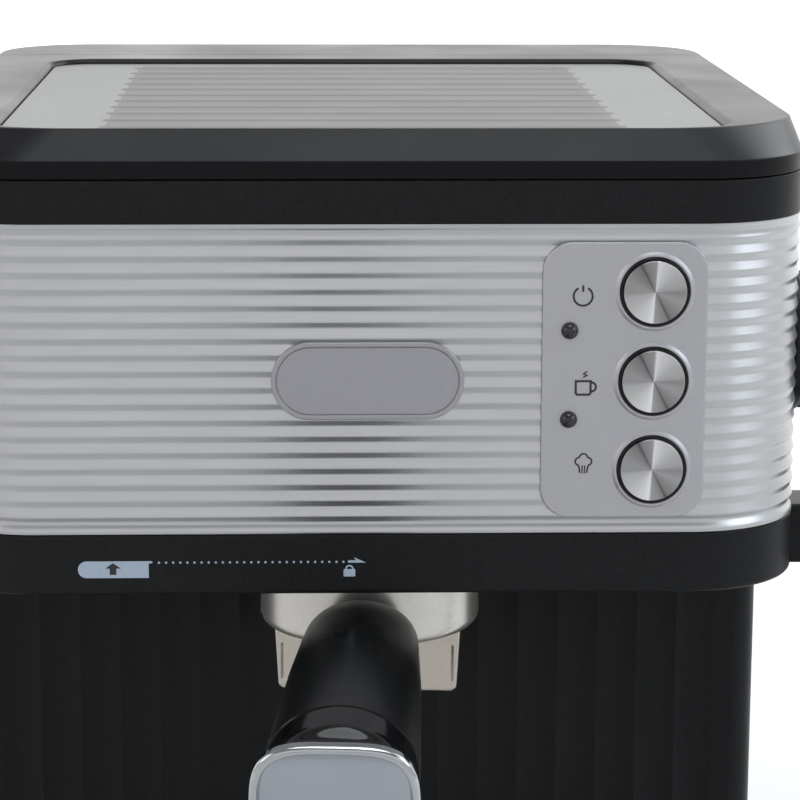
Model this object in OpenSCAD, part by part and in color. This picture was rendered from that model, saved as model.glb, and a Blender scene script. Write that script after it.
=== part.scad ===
// Pump espresso machine: a ribbed head over a drip tray, a column and lift-out water tank
// behind, a bayonet portafilter at the front and a steam wand on the right-hand side.
// Frame: +X right and +Y back as seen by the user, +Z up. The origin is on the table,
// under the middle of the body.

/* [Body] */
// Width of the body
body_w = 243; // [240:1:248]
// Depth of the body, from the head's front to the tank's back
body_d = 275; // [270:1:282]
// Radius of the body's vertical corners
corner_r = 32; // [28:1:34]
// Wall of the plastic casings
wall = 2.5; // [2:0.1:3]
// Distance from the head's front to the column's front
column_set = 84; // [84:0.5:86]
// Depth of the water tank
tank_d = 44.5; // [40:0.5:46]

/* [Heights] */
// Height of the feet
foot_h = 4; // [3.5:0.5:5]
// Top of the deck under the drip tray
deck_z = 12; // [11:0.5:13]
// Top of the base
base_z = 46; // [44:1:48]
// Lower edge of the head's bezel
bezel_z = 178; // [177:0.5:179]
// Lower edge of the ribbed panel
panel_z = 195; // [194.5:0.5:195.5]
// Upper edge of the ribbed panel
band_z = 280; // [279:0.5:281]
// Lower edge of the top frame
lid_z = 292; // [291:0.5:293]
// Lower edge of the top frame's chamfer
chamfer_z = 296.7; // [296:0.1:298]
// Top of the machine
body_h = 304.5; // [303:0.5:306]

/* [Top] */
// How far the front chamfer leans in
chamfer_in = 9.8; // [8:0.2:11]
// Corner radius of the top face
top_r = 40; // [36:1:44]
// Small chamfer along the other top edges
edge_in = 2; // [1.5:0.1:2.5]
// Width of the cup plate
cup_plate_w = 198; // [190:1:200]
// Distance from the head's front to the cup plate
cup_plate_set = 12; // [12:0.5:15]
// Length of the cup plate's ribs
cup_rib_w = 148; // [120:1:160]
// Spacing of the cup plate's ribs
cup_rib_pitch = 17; // [16:0.5:18]

/* [Front panel] */
// Spacing of the horizontal ribs
rib_pitch = 4.54; // [4.3:0.01:4.8]
// Middle of the button plate, from the machine's middle
plate_x = 69.8; // [66:0.1:72]
// Width of the button plate
plate_w = 44.5; // [42:0.5:46]
// Height of the button plate
plate_h = 75.6; // [74:0.2:78]
// Corner radius of the button plate
plate_r = 8; // [6:0.5:10]
// Distance from the plate's middle to the buttons
button_dx = 7.9; // [7:0.1:9]
// Spacing of the buttons
button_pitch = 24.4; // [24:0.1:25]
// Diameter of a button cap
button_d = 17; // [16:0.5:17]
// Travel of a button
button_travel = 1.5; // [1:0.1:1.5]
// Distance from the plate's middle to the indicator lights
light_dx = -14.8; // [-16:0.1:-13]
// Diameter of an indicator light
light_d = 4.5; // [4:0.1:5]
// Width of the blank badge
badge_w = 52; // [45:1:55]
// Height of the blank badge
badge_h = 21.2; // [18:0.2:23]

/* [Group] */
// Sideways offset of the group from the machine's middle
group_x = 2.4; // [0:0.1:3]
// Distance from the head's front to the group's axis
group_set = 50; // [49:0.5:50]
// Outer radius of the portafilter's collar
collar_r = 31.7; // [31:0.1:32]
// Underside of the collar
collar_z = 156.7; // [155:0.1:158]
// Reach of the bayonet ears beyond the collar
ear_reach = 5.1; // [4:0.1:5.1]
// Angle covered by one bayonet ear
ear_angle = 50; // [40:1:54]
// Turn from the insert position to the locked one
lock_turn = 45; // [45:1:50]
// Turn of the locked handle away from straight ahead
handle_turn = 4.6; // [0:0.1:6]
// Downward slope of the handle
handle_slope = 6.5; // [4:0.1:8]
// Distance from the group's axis to the handle's end
handle_reach = 148; // [140:1:155]
// Width of the spout block
spout_w = 52.7; // [46:0.1:54]
// Underside of the spout block
spout_z = 136.2; // [134:0.1:140]

/* [Steam] */
// Distance from the head's front to the wand's pivot
wand_set = 40; // [36:1:44]
// Distance from the machine's middle to the wand's pivot
wand_x = 136; // [135:0.5:138]
// Lower end of the wand's frothing sleeve
wand_tip_z = 74; // [70:1:90]
// Height of the steam knob's axis
knob_z = 237; // [232:1:242]
// Distance from the head's front to the steam knob's axis
knob_set = 62; // [58:1:64]
// Diameter of the steam knob
knob_d = 40; // [36:1:44]

/* [Hidden] */
$fn = 64;

gap = 0.5;
fit = 0.05;
half_w = body_w / 2;
front_y = -body_d / 2;
back_y = body_d / 2;
tank_y = back_y - tank_d;
column_y = front_y + column_set;
column_r = 8;
column_return = 10;
flute_pitch = 12;
flutes = 18;
tray_end = column_y - gap;

foot_x = 92;
foot_y = 108;
foot_d = 24;
screw_x = 104;
screw_y = 80;
screw_d = 3.6;
gland_x = -70;
gland_z = 24;
gland_bore_d = 8.4;
valve_y = tank_y + tank_d / 2;
valve_d = 16;
seat_d = 24;

panel_t = 1.6;
rib_groove = 1;
rib_count = floor((band_z - panel_z) / rib_pitch);
plate_z = (panel_z + band_z) / 2 - 0.1;
plate_t = 2.3;
plate_back = front_y + panel_t;
plate_front = plate_back - plate_t;
button_x = plate_x + button_dx;
ring_d = button_d + 2.6;
ring_proud = 0.8;
button_proud = 1.5;
flange_y = plate_back + 2.6;
button_back = flange_y + 1.2;
board_y = button_back + 6;
light_x = plate_x + light_dx;
light_zs = [plate_z + 13.8, plate_z - 10.6];

group_y = front_y + group_set;
ear_z = 183.9;
ear_t = 3.1;
collar_top = 188;
collar_wall = 2;
ring_z = 180.9;
ring_r = collar_r + ear_reach + 4;
chassis_z = 192;
chassis_t = 2;
group_bore = collar_r + ear_reach + 0.9;
boiler_r = 34;
boiler_top = 236;

handle_axis_z = 165.5;
grip_start = 34.5;
grip_end = 122;
boss_r = 8;

wand_y = front_y + wand_set;
wand_r = 4;
pivot_r = 5;
socket_top = panel_z;
socket_z = bezel_z;
knob_y = front_y + knob_set;
knob_x = half_w + 2;
knob_len = 24;
spindle_r = 3;
valve_x = 70;
valve_len = 32;

pump_x = -60;
pump_y = 20;
hose_z = 24;
hose_r = 3.5;

tray_z = deck_z + 0.4;
tray_wall = 2.2;
tray_floor = tray_z + 2.6;
grid_t = 2.5;
grid_z = base_z - 1 - grid_t;
float_y = front_y + 13.5;

cup_plate_end = tank_y - 17.5;
plate_floor = body_h - 3.5;

// Plan of the head: round front corners, square at the back
module front_plan(inset, end_y) {
    hw = half_w - inset;
    y0 = front_y + inset;
    r = corner_r - inset;
    translate([-hw, y0 + r]) square([2 * hw, end_y - y0 - r]);
    translate([r - hw, y0]) square([2 * (hw - r), r + 1]);
    for (side = [-1, 1])
        translate([side * (hw - r), y0 + r]) circle(r);
}

// Plan of the tank: round back corners, square at the front
module back_plan(inset, start_y) {
    intersection() {
        mirror([0, 1]) front_plan(inset, 0);
        translate([-body_w, start_y]) square([2 * body_w, body_d]);
    }
}

module full_plan(inset) {
    front_plan(inset, 1);
    back_plan(inset, -1);
}

// Plan of the column: small round front corners
module column_plan(inset) {
    hw = half_w - inset;
    y0 = column_y + inset;
    r = column_r - inset;
    translate([-hw, y0 + r]) square([2 * hw, tank_y - y0 - r]);
    translate([r - hw, y0]) square([2 * (hw - r), r + 1]);
    for (side = [-1, 1])
        translate([side * (hw - r), y0 + r]) circle(r);
}

module rounded_rect(w, h, r) {
    square([w - 2 * r, h], center = true);
    square([w, h - 2 * r], center = true);
    for (sx = [-1, 1], sy = [-1, 1])
        translate([sx * (w / 2 - r), sy * (h / 2 - r)]) circle(r);
}

module ring(r_out, r_in, h) {
    difference() {
        cylinder(r = r_out, h = h);
        translate([0, 0, -1]) cylinder(r = r_in, h = h + 2);
    }
}

// Slab between two heights, from a plan
module slab(z0, z1) {
    translate([0, 0, z0]) linear_extrude(z1 - z0) children();
}

// Stands children up to face the user: their +Z points out of the machine's front
module facing_front(x, y, z) {
    translate([x, y, z]) rotate([90, 0, 0]) children();
}

// Lays children on their side: their +Z points to the machine's right
module facing_right(x, y, z) {
    translate([x, y, z]) rotate([0, 90, 0]) children();
}

// Round tube along a path of straight runs, with slightly fuller ball corners
module tube(path, r) {
    for (i = [0 : len(path) - 2]) {
        run = path[i + 1] - path[i];
        length = norm(run);
        translate(path[i])
            rotate([0, acos(run[2] / length), atan2(run[1], run[0])])
                cylinder(r = r, h = length);
        if (i > 0) translate(path[i]) sphere(r * 1.06);
    }
}

// Wedge of a circle about an angle
module wedge(angle, width, reach) {
    polygon([
        [0, 0],
        reach * [cos(angle - width / 2), sin(angle - width / 2)],
        reach * [cos(angle + width / 2), sin(angle + width / 2)]
    ]);
}

module at_group() {
    translate([group_x, group_y, 0]) children();
}

// Puts children on the handle's axis: their +Z points outwards along the handle
module along_handle(reach) {
    at_group() translate([0, 0, handle_axis_z])
        rotate([0, 0, -handle_turn]) rotate([90 + handle_slope, 0, 0])
            translate([0, 0, reach]) children();
}

module feet() {
    color("#26282a")
    for (sx = [-1, 1], sy = [-1, 1])
        translate([sx * foot_x, sy * foot_y, 0])
            cylinder(d1 = foot_d - 2, d2 = foot_d, h = foot_h);
}

module screw_places() {
    for (sx = [-1, 1], y = [-screw_y, screw_y])
        translate([sx * screw_x, y, 0]) children();
}

module screw_bosses(y, top_z) {
    for (sx = [-1, 1])
        translate([sx * screw_x, y, foot_h + wall]) cylinder(d = 9, h = top_z - foot_h - wall);
}

module bottom_cover() {
    color("#2b2d2f")
    difference() {
        slab(foot_h, foot_h + wall) full_plan(wall + 0.2);
        screw_places() translate([0, 0, foot_h - 1]) cylinder(d = screw_d + 0.4, h = wall + 2);
        for (i = [-6 : 6])
            translate([i * 10 - 2, 20, foot_h - 1]) cube([4, 40, wall + 2]);
    }
}

module base_housing() {
    deck_t = 2.5;
    color("#202224")
    difference() {
        union() {
            difference() {
                slab(foot_h, base_z) full_plan(0);
                translate([-body_w, front_y - 1, deck_z])
                    cube([2 * body_w, column_y - front_y + 1, base_z]);
                slab(foot_h - 1, deck_z - deck_t) full_plan(wall);
                slab(deck_z - deck_t - 1, base_z - wall) intersection() {
                    full_plan(wall);
                    translate([-body_w, column_y + wall]) square([2 * body_w, body_d]);
                }
            }
            screw_bosses(-screw_y, deck_z - 0.5);
            screw_bosses(screw_y, base_z - 0.5);
        }
        translate([-85, column_y + 16, base_z - wall - 1]) cube([170, 110, wall + 2]);
        screw_places() cylinder(d = screw_d + 0.2, h = deck_z - 1.5);
        translate([0, valve_y, base_z - wall - 1]) cylinder(d = seat_d + 0.2, h = wall + 2);
        translate([gland_x, back_y - wall - 1, gland_z])
            rotate([-90, 0, 0]) cylinder(d = gland_bore_d + 5.8, h = wall + 2);
    }
}

module case_screws() {
    color("#b8babc")
    screw_places() {
        translate([0, 0, foot_h - 1.8]) cylinder(d = 7, h = 1.8);
        translate([0, 0, foot_h - 0.5]) cylinder(d = screw_d, h = 6);
    }
}

module cord_gland() {
    color("#1e2022")
    translate([gland_x, back_y, gland_z]) rotate([90, 0, 0])
        difference() {
            union() {
                translate([0, 0, -3]) cylinder(d = gland_bore_d + 10, h = 3);
                cylinder(d = gland_bore_d + 5.6, h = 12);
            }
            translate([0, 0, -4]) cylinder(d = gland_bore_d, h = 17);
        }
}

module valve_seat() {
    color("#55585a")
    translate([0, valve_y, base_z - 10]) difference() {
        union() {
            cylinder(d = seat_d, h = 10);
            cylinder(d = seat_d + 6, h = 7.3);
        }
        translate([0, 0, 2]) cylinder(d = valve_d + 1, h = 9);
        translate([0, 0, -1]) cylinder(d = 6, h = 4);
    }
}

module front_cover() {
    color("#222426")
    slab(base_z, bezel_z) difference() {
        intersection() {
            column_plan(0);
            translate([-body_w, column_y]) square([2 * body_w, column_return]);
        }
        column_plan(wall);
        for (i = [-(flutes - 1) / 2 : (flutes - 1) / 2])
            translate([i * flute_pitch, column_y - 0.6]) circle(1.3);
    }
}

module column_shell() {
    start = column_y + column_return + 0.2;
    color("#222426")
    slab(base_z, bezel_z) difference() {
        translate([-half_w, start]) square([body_w, tank_y - start]);
        translate([wall - half_w, start - 1])
            square([body_w - 2 * wall, tank_y - wall - start + 1]);
    }
}

module back_panel() {
    color("#222426")
    translate([panel_t + 0.3 - half_w, tank_y - wall, panel_z + 0.2])
        cube([body_w - 2 * panel_t - 0.6, wall, lid_z - panel_z - 0.4]);
}

module lower_bezel() {
    floor_t = 2.5;
    color("#1f2123")
    difference() {
        slab(bezel_z, panel_z) front_plan(0, tank_y);
        slab(bezel_z + floor_t, panel_z + 1) front_plan(wall, tank_y - wall);
        translate([20 - half_w, column_y + 14, bezel_z - 1])
            cube([body_w - 40, tank_y - column_y - 24, 5]);
        at_group() translate([0, 0, bezel_z - 1]) cylinder(r = group_bore, h = 5);
        facing_right(half_w - wall - 1, wand_y, panel_z - 8.5) cylinder(r = 4, h = wall + 2);
    }
}

module ribbed_panel() {
    color("#c4c6c8")
    difference() {
        slab(panel_z, band_z) difference() {
            front_plan(0, tank_y);
            front_plan(panel_t, tank_y + 1);
        }
        for (i = [1 : rib_count])
            slab(panel_z + i * rib_pitch - rib_groove, panel_z + i * rib_pitch)
                difference() {
                    front_plan(-1, tank_y + 1);
                    front_plan(0.7, tank_y + 2);
                }
        facing_front(plate_x, plate_back + 1, plate_z)
            linear_extrude(5) rounded_rect(plate_w + 0.4, plate_h + 0.4, plate_r + 0.2);
        facing_right(half_w - 5, knob_y, knob_z) cylinder(r = spindle_r + 4, h = 10);
    }
}

module upper_band() {
    color("#1f2123")
    difference() {
        slab(band_z, lid_z - 0.3) front_plan(0, tank_y);
        slab(band_z + wall, lid_z) front_plan(wall, tank_y - wall - 0.2);
        slab(band_z - 1, lid_z) front_plan(12, tank_y - wall - 0.2);
        translate([panel_t + 0.2 - half_w, tank_y - wall - 0.3, band_z - 1])
            cube([body_w - 2 * panel_t - 0.4, wall + 1, lid_z - band_z + 2]);
    }
}

// Plan of the head with its own insets at the sides and the front
module lid_plan(side, front, r, end_y) {
    hw = half_w - side;
    y0 = front_y + front;
    hull() {
        for (s = [-1, 1])
            translate([s * (hw - r), y0 + r]) circle(r);
        translate([-hw, end_y - 1]) square([2 * hw, 1]);
    }
}

module lid_body(base_z) {
    hull() {
        slab(lid_z, base_z) children(0);
        slab(body_h - edge_in, body_h - edge_in + 0.01) children(1);
        slab(body_h - 0.01, body_h) children(2);
    }
}

module top_frame() {
    color("#26282a")
    difference() {
        lid_body(chamfer_z) {
            front_plan(0, tank_y);
            lid_plan(0, chamfer_in - 2.5, top_r - 2, tank_y);
            lid_plan(edge_in, chamfer_in, top_r, tank_y);
        }
        translate([0, (front_y + cup_plate_set + cup_plate_end) / 2, plate_floor])
            linear_extrude(10)
                rounded_rect(cup_plate_w + 0.6, cup_plate_end - front_y - cup_plate_set + 0.6, 14);
        translate([-80, column_y, lid_z - 1]) cube([160, 120, plate_floor - lid_z - 1]);
    }
}

module cup_plate() {
    start = front_y + cup_plate_set;
    depth = cup_plate_end - start;
    count = floor((depth - 22) / cup_rib_pitch);
    color("#b6b8ba")
    union() {
        translate([0, start + depth / 2, plate_floor])
            linear_extrude(2) rounded_rect(cup_plate_w, depth, 13.7);
        for (i = [0 : count])
            translate([-cup_rib_w / 2, start + 9 + i * cup_rib_pitch, plate_floor + 1])
                cube([cup_rib_w, cup_rib_pitch * 0.6, 1.9]);
    }
}

module badge() {
    color("#9a9c9e")
    facing_front(0.7, front_y, plate_z + 0.2) {
        linear_extrude(0.6) rounded_rect(badge_w, badge_h, badge_h / 2 - 0.01);
        linear_extrude(1) difference() {
            rounded_rect(badge_w, badge_h, badge_h / 2 - 0.01);
            rounded_rect(badge_w - 2.2, badge_h - 2.2, badge_h / 2 - 1.11);
        }
    }
}

module button_places() {
    for (i = [-1 : 1])
        translate([button_x, 0, plate_z + i * button_pitch]) children();
}

module button_plate() {
    color("#a9abad")
    difference() {
        union() {
            facing_front(plate_x, plate_back, plate_z)
                linear_extrude(plate_t) rounded_rect(plate_w, plate_h, plate_r);
            button_places() facing_front(0, plate_back, 0)
                cylinder(d = ring_d + 2.4, h = plate_t + 0.5);
        }
        button_places() facing_front(0, plate_back + 1, 0) cylinder(d = ring_d, h = 9);
        for (z = light_zs)
            facing_front(light_x, plate_back + 1, z) cylinder(d = light_d + 0.2, h = 9);
    }
}

module button_rings() {
    color("#121314")
    button_places() facing_front(0, flange_y - 0.3, 0)
        ring(ring_d / 2 - 0.02, button_d / 2 + fit, flange_y - 0.3 - plate_front + ring_proud);
}

// Button number counts up from the lowest
module button_cap(number) {
    color("#c9cbcd")
    facing_front(button_x, button_back, plate_z + (number - 1) * button_pitch) {
        cylinder(d = button_d, h = button_back - plate_front + button_proud);
        cylinder(d = ring_d - 0.6, h = 1.2);
        translate([0, 0, -2.2]) cylinder(d = 4, h = 3);
    }
}

module button_spring(number) {
    color("#d0d2d4")
    facing_front(button_x, board_y, plate_z + (number - 1) * button_pitch)
        ring(5.8, 4.6, board_y - button_back);
}

module power_button() { button_cap(2); }
module coffee_button() { button_cap(1); }
module steam_button() { button_cap(0); }
module power_spring() { button_spring(2); }
module coffee_spring() { button_spring(1); }
module steam_spring() { button_spring(0); }

module switch_board() {
    color("#2f6b4a")
    union() {
        translate([plate_x - 20, board_y, plate_z - 35]) cube([40, 1.6, 70]);
        button_places() translate([-3, board_y - 2, -3]) cube([6, 3, 6]);
    }
}

module indicator_lights() {
    color("#4a4c50")
    for (z = light_zs)
        facing_front(light_x, board_y, z) {
            cylinder(d = light_d, h = board_y - plate_front + 0.2);
            translate([0, 0, board_y - plate_front + 0.2]) sphere(d = light_d);
        }
}

module control_board() {
    color("#2f6b4a")
    union() {
        translate([12 - half_w, -20, 205]) cube([1.6, 90, 60]);
        translate([13 - half_w, -10, 215]) cube([16, 20, 28]);
        translate([13 - half_w, 20, 215]) cube([12, 16, 20]);
        facing_right(13 - half_w, 52, 240) cylinder(r = 8, h = 20);
    }
}

module chassis_plate() {
    color("#c0c2c4")
    difference() {
        union() {
            slab(chassis_z, chassis_z + chassis_t) front_plan(4, tank_y - 6);
            for (sx = [-1, 1], y = [-100, 60])
                translate([sx * 100, y, bezel_z + wall])
                    cylinder(d = 8, h = chassis_z - bezel_z - wall + 0.5);
        }
        at_group() translate([0, 0, chassis_z - 1]) cylinder(r = boiler_r + 0.3, h = 5);
        translate([-90, column_y + 16, chassis_z - 1]) cube([180, 110, 5]);
        translate([94, wand_y - 10, bezel_z]) cube([40, 34, 20]);
    }
}

// Bayonet ring: two gaps let the ears in, and the lips between them hold the ears up
module group_ring() {
    lip_top = ear_z - 0.4;
    color("#8f9294")
    at_group() difference() {
        translate([0, 0, ring_z]) cylinder(r = ring_r, h = chassis_z - ring_z);
        translate([0, 0, lip_top]) cylinder(r = collar_r + ear_reach + 0.6, h = 20);
        translate([0, 0, ring_z - 1]) cylinder(r = collar_r + 0.7, h = 10);
        slab(ring_z - 1, ear_z + 1) intersection() {
            circle(r = collar_r + ear_reach + 0.6);
            rotate(-lock_turn) union() {
                wedge(0, ear_angle + 8, 60);
                wedge(180, ear_angle + 8, 60);
            }
        }
    }
}

module group_gasket() {
    color("#7a4a3c")
    at_group() translate([0, 0, collar_top + 0.2])
        ring(collar_r + 0.8, 28.6, chassis_z - collar_top - 0.2);
}

module shower_screen() {
    color("#d4d6d8")
    at_group() difference() {
        translate([0, 0, collar_top]) cylinder(r = 27.5, h = 1.4);
        translate([0, 0, collar_top - 1]) cylinder(r = 2.6, h = 4);
        for (r = [10, 18, 24], a = [0 : 30 : 330])
            rotate(a + r * 2) translate([r, 0, collar_top + 0.7]) cube([1.6, 1.6, 2], center = true);
    }
}

module shower_screw() {
    color("#d4d6d8")
    at_group() translate([0, 0, collar_top - 1.6]) {
        cylinder(r = 4.6, h = 1.6);
        cylinder(r = 2.5, h = 9);
    }
}

module boiler() {
    color("#b0b2b4")
    at_group() difference() {
        union() {
            translate([0, 0, collar_top + 1.5]) cylinder(r = 28.4, h = 6);
            translate([0, 0, chassis_z]) cylinder(r = boiler_r, h = boiler_top - chassis_z);
        }
        translate([0, 0, collar_top]) cylinder(r = 2.55, h = 8);
    }
}

module heating_element() {
    color("#8a6a4c")
    at_group() translate([0, 0, 214]) {
        rotate_extrude() translate([boiler_r + 3.6, 0]) circle(3.4);
        for (x = [-8, 8])
            translate([x, boiler_r + 3, 0]) rotate([-90, 0, 0]) cylinder(r = 3, h = 16);
    }
}

module thermostats() {
    color("#3a3c3e")
    at_group() for (x = [-14, 14])
        translate([x, -12, boiler_top]) {
            cylinder(r = 7, h = 6);
            translate([-2, -5, 5]) cube([4, 10, 7]);
        }
}

module pump() {
    color("#8c8f92")
    translate([pump_x, pump_y, 0]) {
        translate([0, 0, 62]) cylinder(r = 5, h = 76);
        translate([0, 0, 72]) cylinder(r = 12, h = 58);
        translate([-22, -16, 86]) cube([44, 32, 28]);
    }
}

module pump_mounts() {
    color("#3c3e40")
    translate([pump_x, pump_y, 0])
        for (z = [76, 118])
            translate([0, 0, z]) ring(20, 12.1, 6);
}

module inlet_hose() {
    color("#d8d4cc")
    tube([
        [0, valve_y, base_z - 10], [0, valve_y, hose_z], [pump_x, 60, hose_z],
        [pump_x, pump_y, hose_z], [pump_x, pump_y, 62]
    ], hose_r);
}

module pressure_hose() {
    color("#e6e2da")
    tube([
        [pump_x, pump_y, 138], [pump_x, pump_y, 254], [group_x - 12, -60, 254],
        [group_x - 12, group_y + 14, 254], [group_x - 12, group_y + 14, boiler_top]
    ], 2.5);
}

module steam_valve() {
    color("#b49a5a")
    difference() {
        union() {
            facing_right(valve_x, knob_y, knob_z) cylinder(r = 9, h = valve_len);
            translate([valve_x + 2, knob_y - 5, chassis_z + chassis_t])
                cube([6, 10, knob_z - chassis_z - 6]);
        }
        facing_right(valve_x + 12, knob_y, knob_z)
            cylinder(r = spindle_r + fit, h = valve_len);
    }
}

// Boiler to valve, then valve to wand
module steam_pipes() {
    color("#c9a46a")
    union() {
        tube([
            [group_x + 12, group_y + 10, boiler_top], [group_x + 12, group_y + 10, 247],
            [valve_x - 12, knob_y, 247], [valve_x - 12, knob_y, knob_z], [valve_x, knob_y, knob_z]
        ], 2);
        tube([
            [valve_x + 22, knob_y, knob_z - 9], [valve_x + 22, knob_y, 206],
            [106, wand_y, 196], [106, wand_y, panel_z - 8.5], [wand_x - 8, wand_y, panel_z - 8.5]
        ], 2.5);
    }
}

module knob_ring() {
    color("#b8babc")
    facing_right(half_w, knob_y, knob_z) ring(knob_d / 2 + 2, spindle_r + 4, 1.4);
}

module steam_knob() {
    color("#1c1e20")
    facing_right(knob_x, knob_y, knob_z) difference() {
        union() {
            linear_extrude(knob_len) difference() {
                circle(d = knob_d);
                for (i = [0 : 15])
                    rotate(i * 22.5) translate([knob_d / 2 + 0.8, 0]) circle(2);
            }
            cylinder(d = knob_d + 1, h = 3);
        }
        translate([0, 0, -1]) cylinder(r = spindle_r + fit, h = knob_len - 7);
        translate([0, 0, knob_len - 1.5]) cylinder(d = knob_d - 12, h = 3);
    }
}

module knob_cap() {
    color("#d0d2d4")
    facing_right(knob_x + knob_len - 1.5, knob_y, knob_z) cylinder(d = knob_d - 12.4, h = 2);
}

module knob_spindle() {
    color("#c8b070")
    facing_right(valve_x + 15, knob_y, knob_z) {
        cylinder(r = spindle_r, h = knob_x + knob_len - 9 - valve_x - 15);
        translate([0, 0, valve_len - 14]) cylinder(r = 5, h = 4);
    }
}

module wand_socket() {
    color("#232527")
    difference() {
        union() {
            translate([wand_x, wand_y, socket_z]) cylinder(r = 9.5, h = socket_top - socket_z);
            translate([half_w, wand_y - 9.5, socket_z])
                cube([wand_x - half_w, 19, socket_top - socket_z]);
        }
        translate([wand_x, wand_y, socket_z - 1]) cylinder(r = pivot_r + fit, h = 14);
        facing_right(half_w - 1, wand_y, panel_z - 8.5) cylinder(r = 3, h = wand_x - half_w);
    }
}

module steam_wand() {
    bend_z = 156;
    color("#d0d2d4")
    translate([wand_x, wand_y, 0]) {
        translate([0, 0, socket_z - 2]) cylinder(r = pivot_r, h = 14);
        translate([0, 0, socket_z - 10]) cylinder(r = 8, h = 9);
        tube([[0, 0, socket_z - 4], [0, 0, bend_z], [0, -28, wand_tip_z + 6]], wand_r);
    }
}

// Plastic sleeve that draws air into the milk
module froth_sleeve() {
    length = 46;
    lean = atan2(28, 156 - wand_tip_z - 6);
    color("#1d1f21")
    translate([wand_x, wand_y - 28, wand_tip_z + 6]) rotate([-lean, 0, 0])
        difference() {
            union() {
                translate([0, 0, -8]) cylinder(r = 6.5, h = length);
                translate([0, 0, length - 8]) cylinder(r1 = 6.5, r2 = 5.4, h = 4);
            }
            translate([0, 0, -0.2]) cylinder(r = wand_r + 0.1, h = length);
            translate([0, 0, -9]) cylinder(r = 2, h = 10);
            translate([0, 0, -0.2]) sphere(wand_r + 0.1);
        }
}

module portafilter_collar() {
    base_r = 4;
    color("#d9dadc")
    difference() {
        union() {
            at_group() difference() {
                rotate_extrude() {
                    translate([0, collar_z]) square([collar_r - base_r, collar_top - collar_z]);
                    translate([0, collar_z + base_r])
                        square([collar_r, collar_top - collar_z - base_r]);
                    translate([collar_r - base_r, collar_z + base_r]) circle(base_r);
                }
                translate([0, 0, collar_z + 3])
                    cylinder(r = collar_r - collar_wall, h = 40);
            }
            at_group() slab(ear_z, ear_z + ear_t) intersection() {
                difference() {
                    circle(r = collar_r + ear_reach);
                    circle(r = collar_r - 1);
                }
                union() {
                    wedge(0, ear_angle, 60);
                    wedge(180, ear_angle, 60);
                }
            }
            along_handle(collar_r - 1.5) cylinder(r = boss_r, h = 10);
        }
        at_group() translate([0, 0, collar_z - 1]) cylinder(r = 4, h = 6);
        along_handle(collar_r + 2) cylinder(r = 3.1, h = 10);
    }
}

module filter_basket() {
    basket_r = collar_r - collar_wall - 0.4;
    color("#cfd1d3")
    at_group() difference() {
        union() {
            translate([0, 0, collar_z + 8]) cylinder(r = basket_r, h = collar_top - collar_z - 8.1);
        }
        translate([0, 0, collar_z + 9]) cylinder(r = basket_r - 1, h = 40);
    }
}

module spout_block() {
    depth = 23;
    edge_r = 3;
    height = collar_z - spout_z;
    color("#d6d3cc")
    at_group() rotate(-handle_turn) difference() {
        translate([0, depth / 2, spout_z]) rotate([90, 0, 0]) linear_extrude(depth) {
            translate([-spout_w / 2, edge_r]) square([spout_w, height - edge_r]);
            translate([edge_r - spout_w / 2, 0]) square([spout_w - 2 * edge_r, edge_r + 1]);
            for (side = [-1, 1])
                translate([side * (spout_w / 2 - edge_r), edge_r]) circle(edge_r);
        }
        for (x = [-13, 13])
            translate([x, 0, spout_z - 1]) cylinder(r = 3, h = height - 5);
        translate([0, 0, collar_z - 6]) cylinder(r = 4, h = 7);
        translate([-16, -3, collar_z - 9]) cube([32, 6, 5]);
    }
}

// Half-widths and half-heights of the grip along its length
module handle_grip() {
    stations = [[grip_start, 15.5, 11.5], [46, 16.4, 13.8], [70, 18, 16], [grip_end, 20, 18.5]];
    color("#232527")
    difference() {
        hull()
            for (st = stations)
                along_handle(st[0]) linear_extrude(0.1)
                    scale([st[1] / 20, st[2] / 20]) circle(r = 20, $fn = 32);
        along_handle(0) cylinder(r = boss_r + 0.1, h = collar_r + 8.7);
        along_handle(30) cylinder(r = 3.1, h = 70);
    }
}

module handle_cap() {
    color("#dcdee0")
    hull() {
        along_handle(grip_end + 0.1) linear_extrude(0.1)
            scale([1, 0.925]) circle(r = 20, $fn = 32);
        along_handle(handle_reach - 3) linear_extrude(3) rounded_rect(42, 40, 13, $fn = 32);
    }
}

module handle_bolt() {
    color("#b8babc")
    along_handle(collar_r + 2.2) cylinder(r = 3, h = 60);
}

module drip_tray() {
    color("#26282a")
    union() {
        difference() {
            slab(tray_z, base_z - 0.5) front_plan(0, tray_end);
            slab(tray_floor, base_z) front_plan(tray_wall, tray_end - tray_wall);
        }
        for (sx = [-1, 1], y = [front_y + 16, tray_end - 12])
            translate([sx * 84, y, tray_floor - 0.5])
                cylinder(r = 4, h = grid_z - tray_floor + 0.3);
        translate([0, float_y, tray_floor - 0.5]) cylinder(r = 1.5, h = 16);
    }
}

module drip_grid() {
    slot_w = 4;
    slot_pitch = 8;
    slots = 12;
    row_l = 22;
    color("#c6c8ca")
    difference() {
        slab(grid_z, grid_z + grid_t) front_plan(tray_wall + 0.4, tray_end - tray_wall - 0.4);
        for (i = [-slots : slots], row = [0, 1])
            translate([i * slot_pitch - slot_w / 2, float_y + 9 + row * (row_l + 6), grid_z - 1])
                cube([slot_w, row_l, grid_t + 2]);
        translate([0, float_y, grid_z - 1]) cylinder(r = 4.4, h = grid_t + 2);
    }
}

module tray_float() {
    color("#b8342c")
    translate([0, float_y, tray_floor + 0.3]) difference() {
        union() {
            cylinder(r = 11, h = 5);
            cylinder(r = 3.6, h = grid_z + grid_t - tray_floor - 0.8);
        }
        translate([0, 0, -1]) cylinder(r = 1.5 + fit, h = 18);
    }
}

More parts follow.
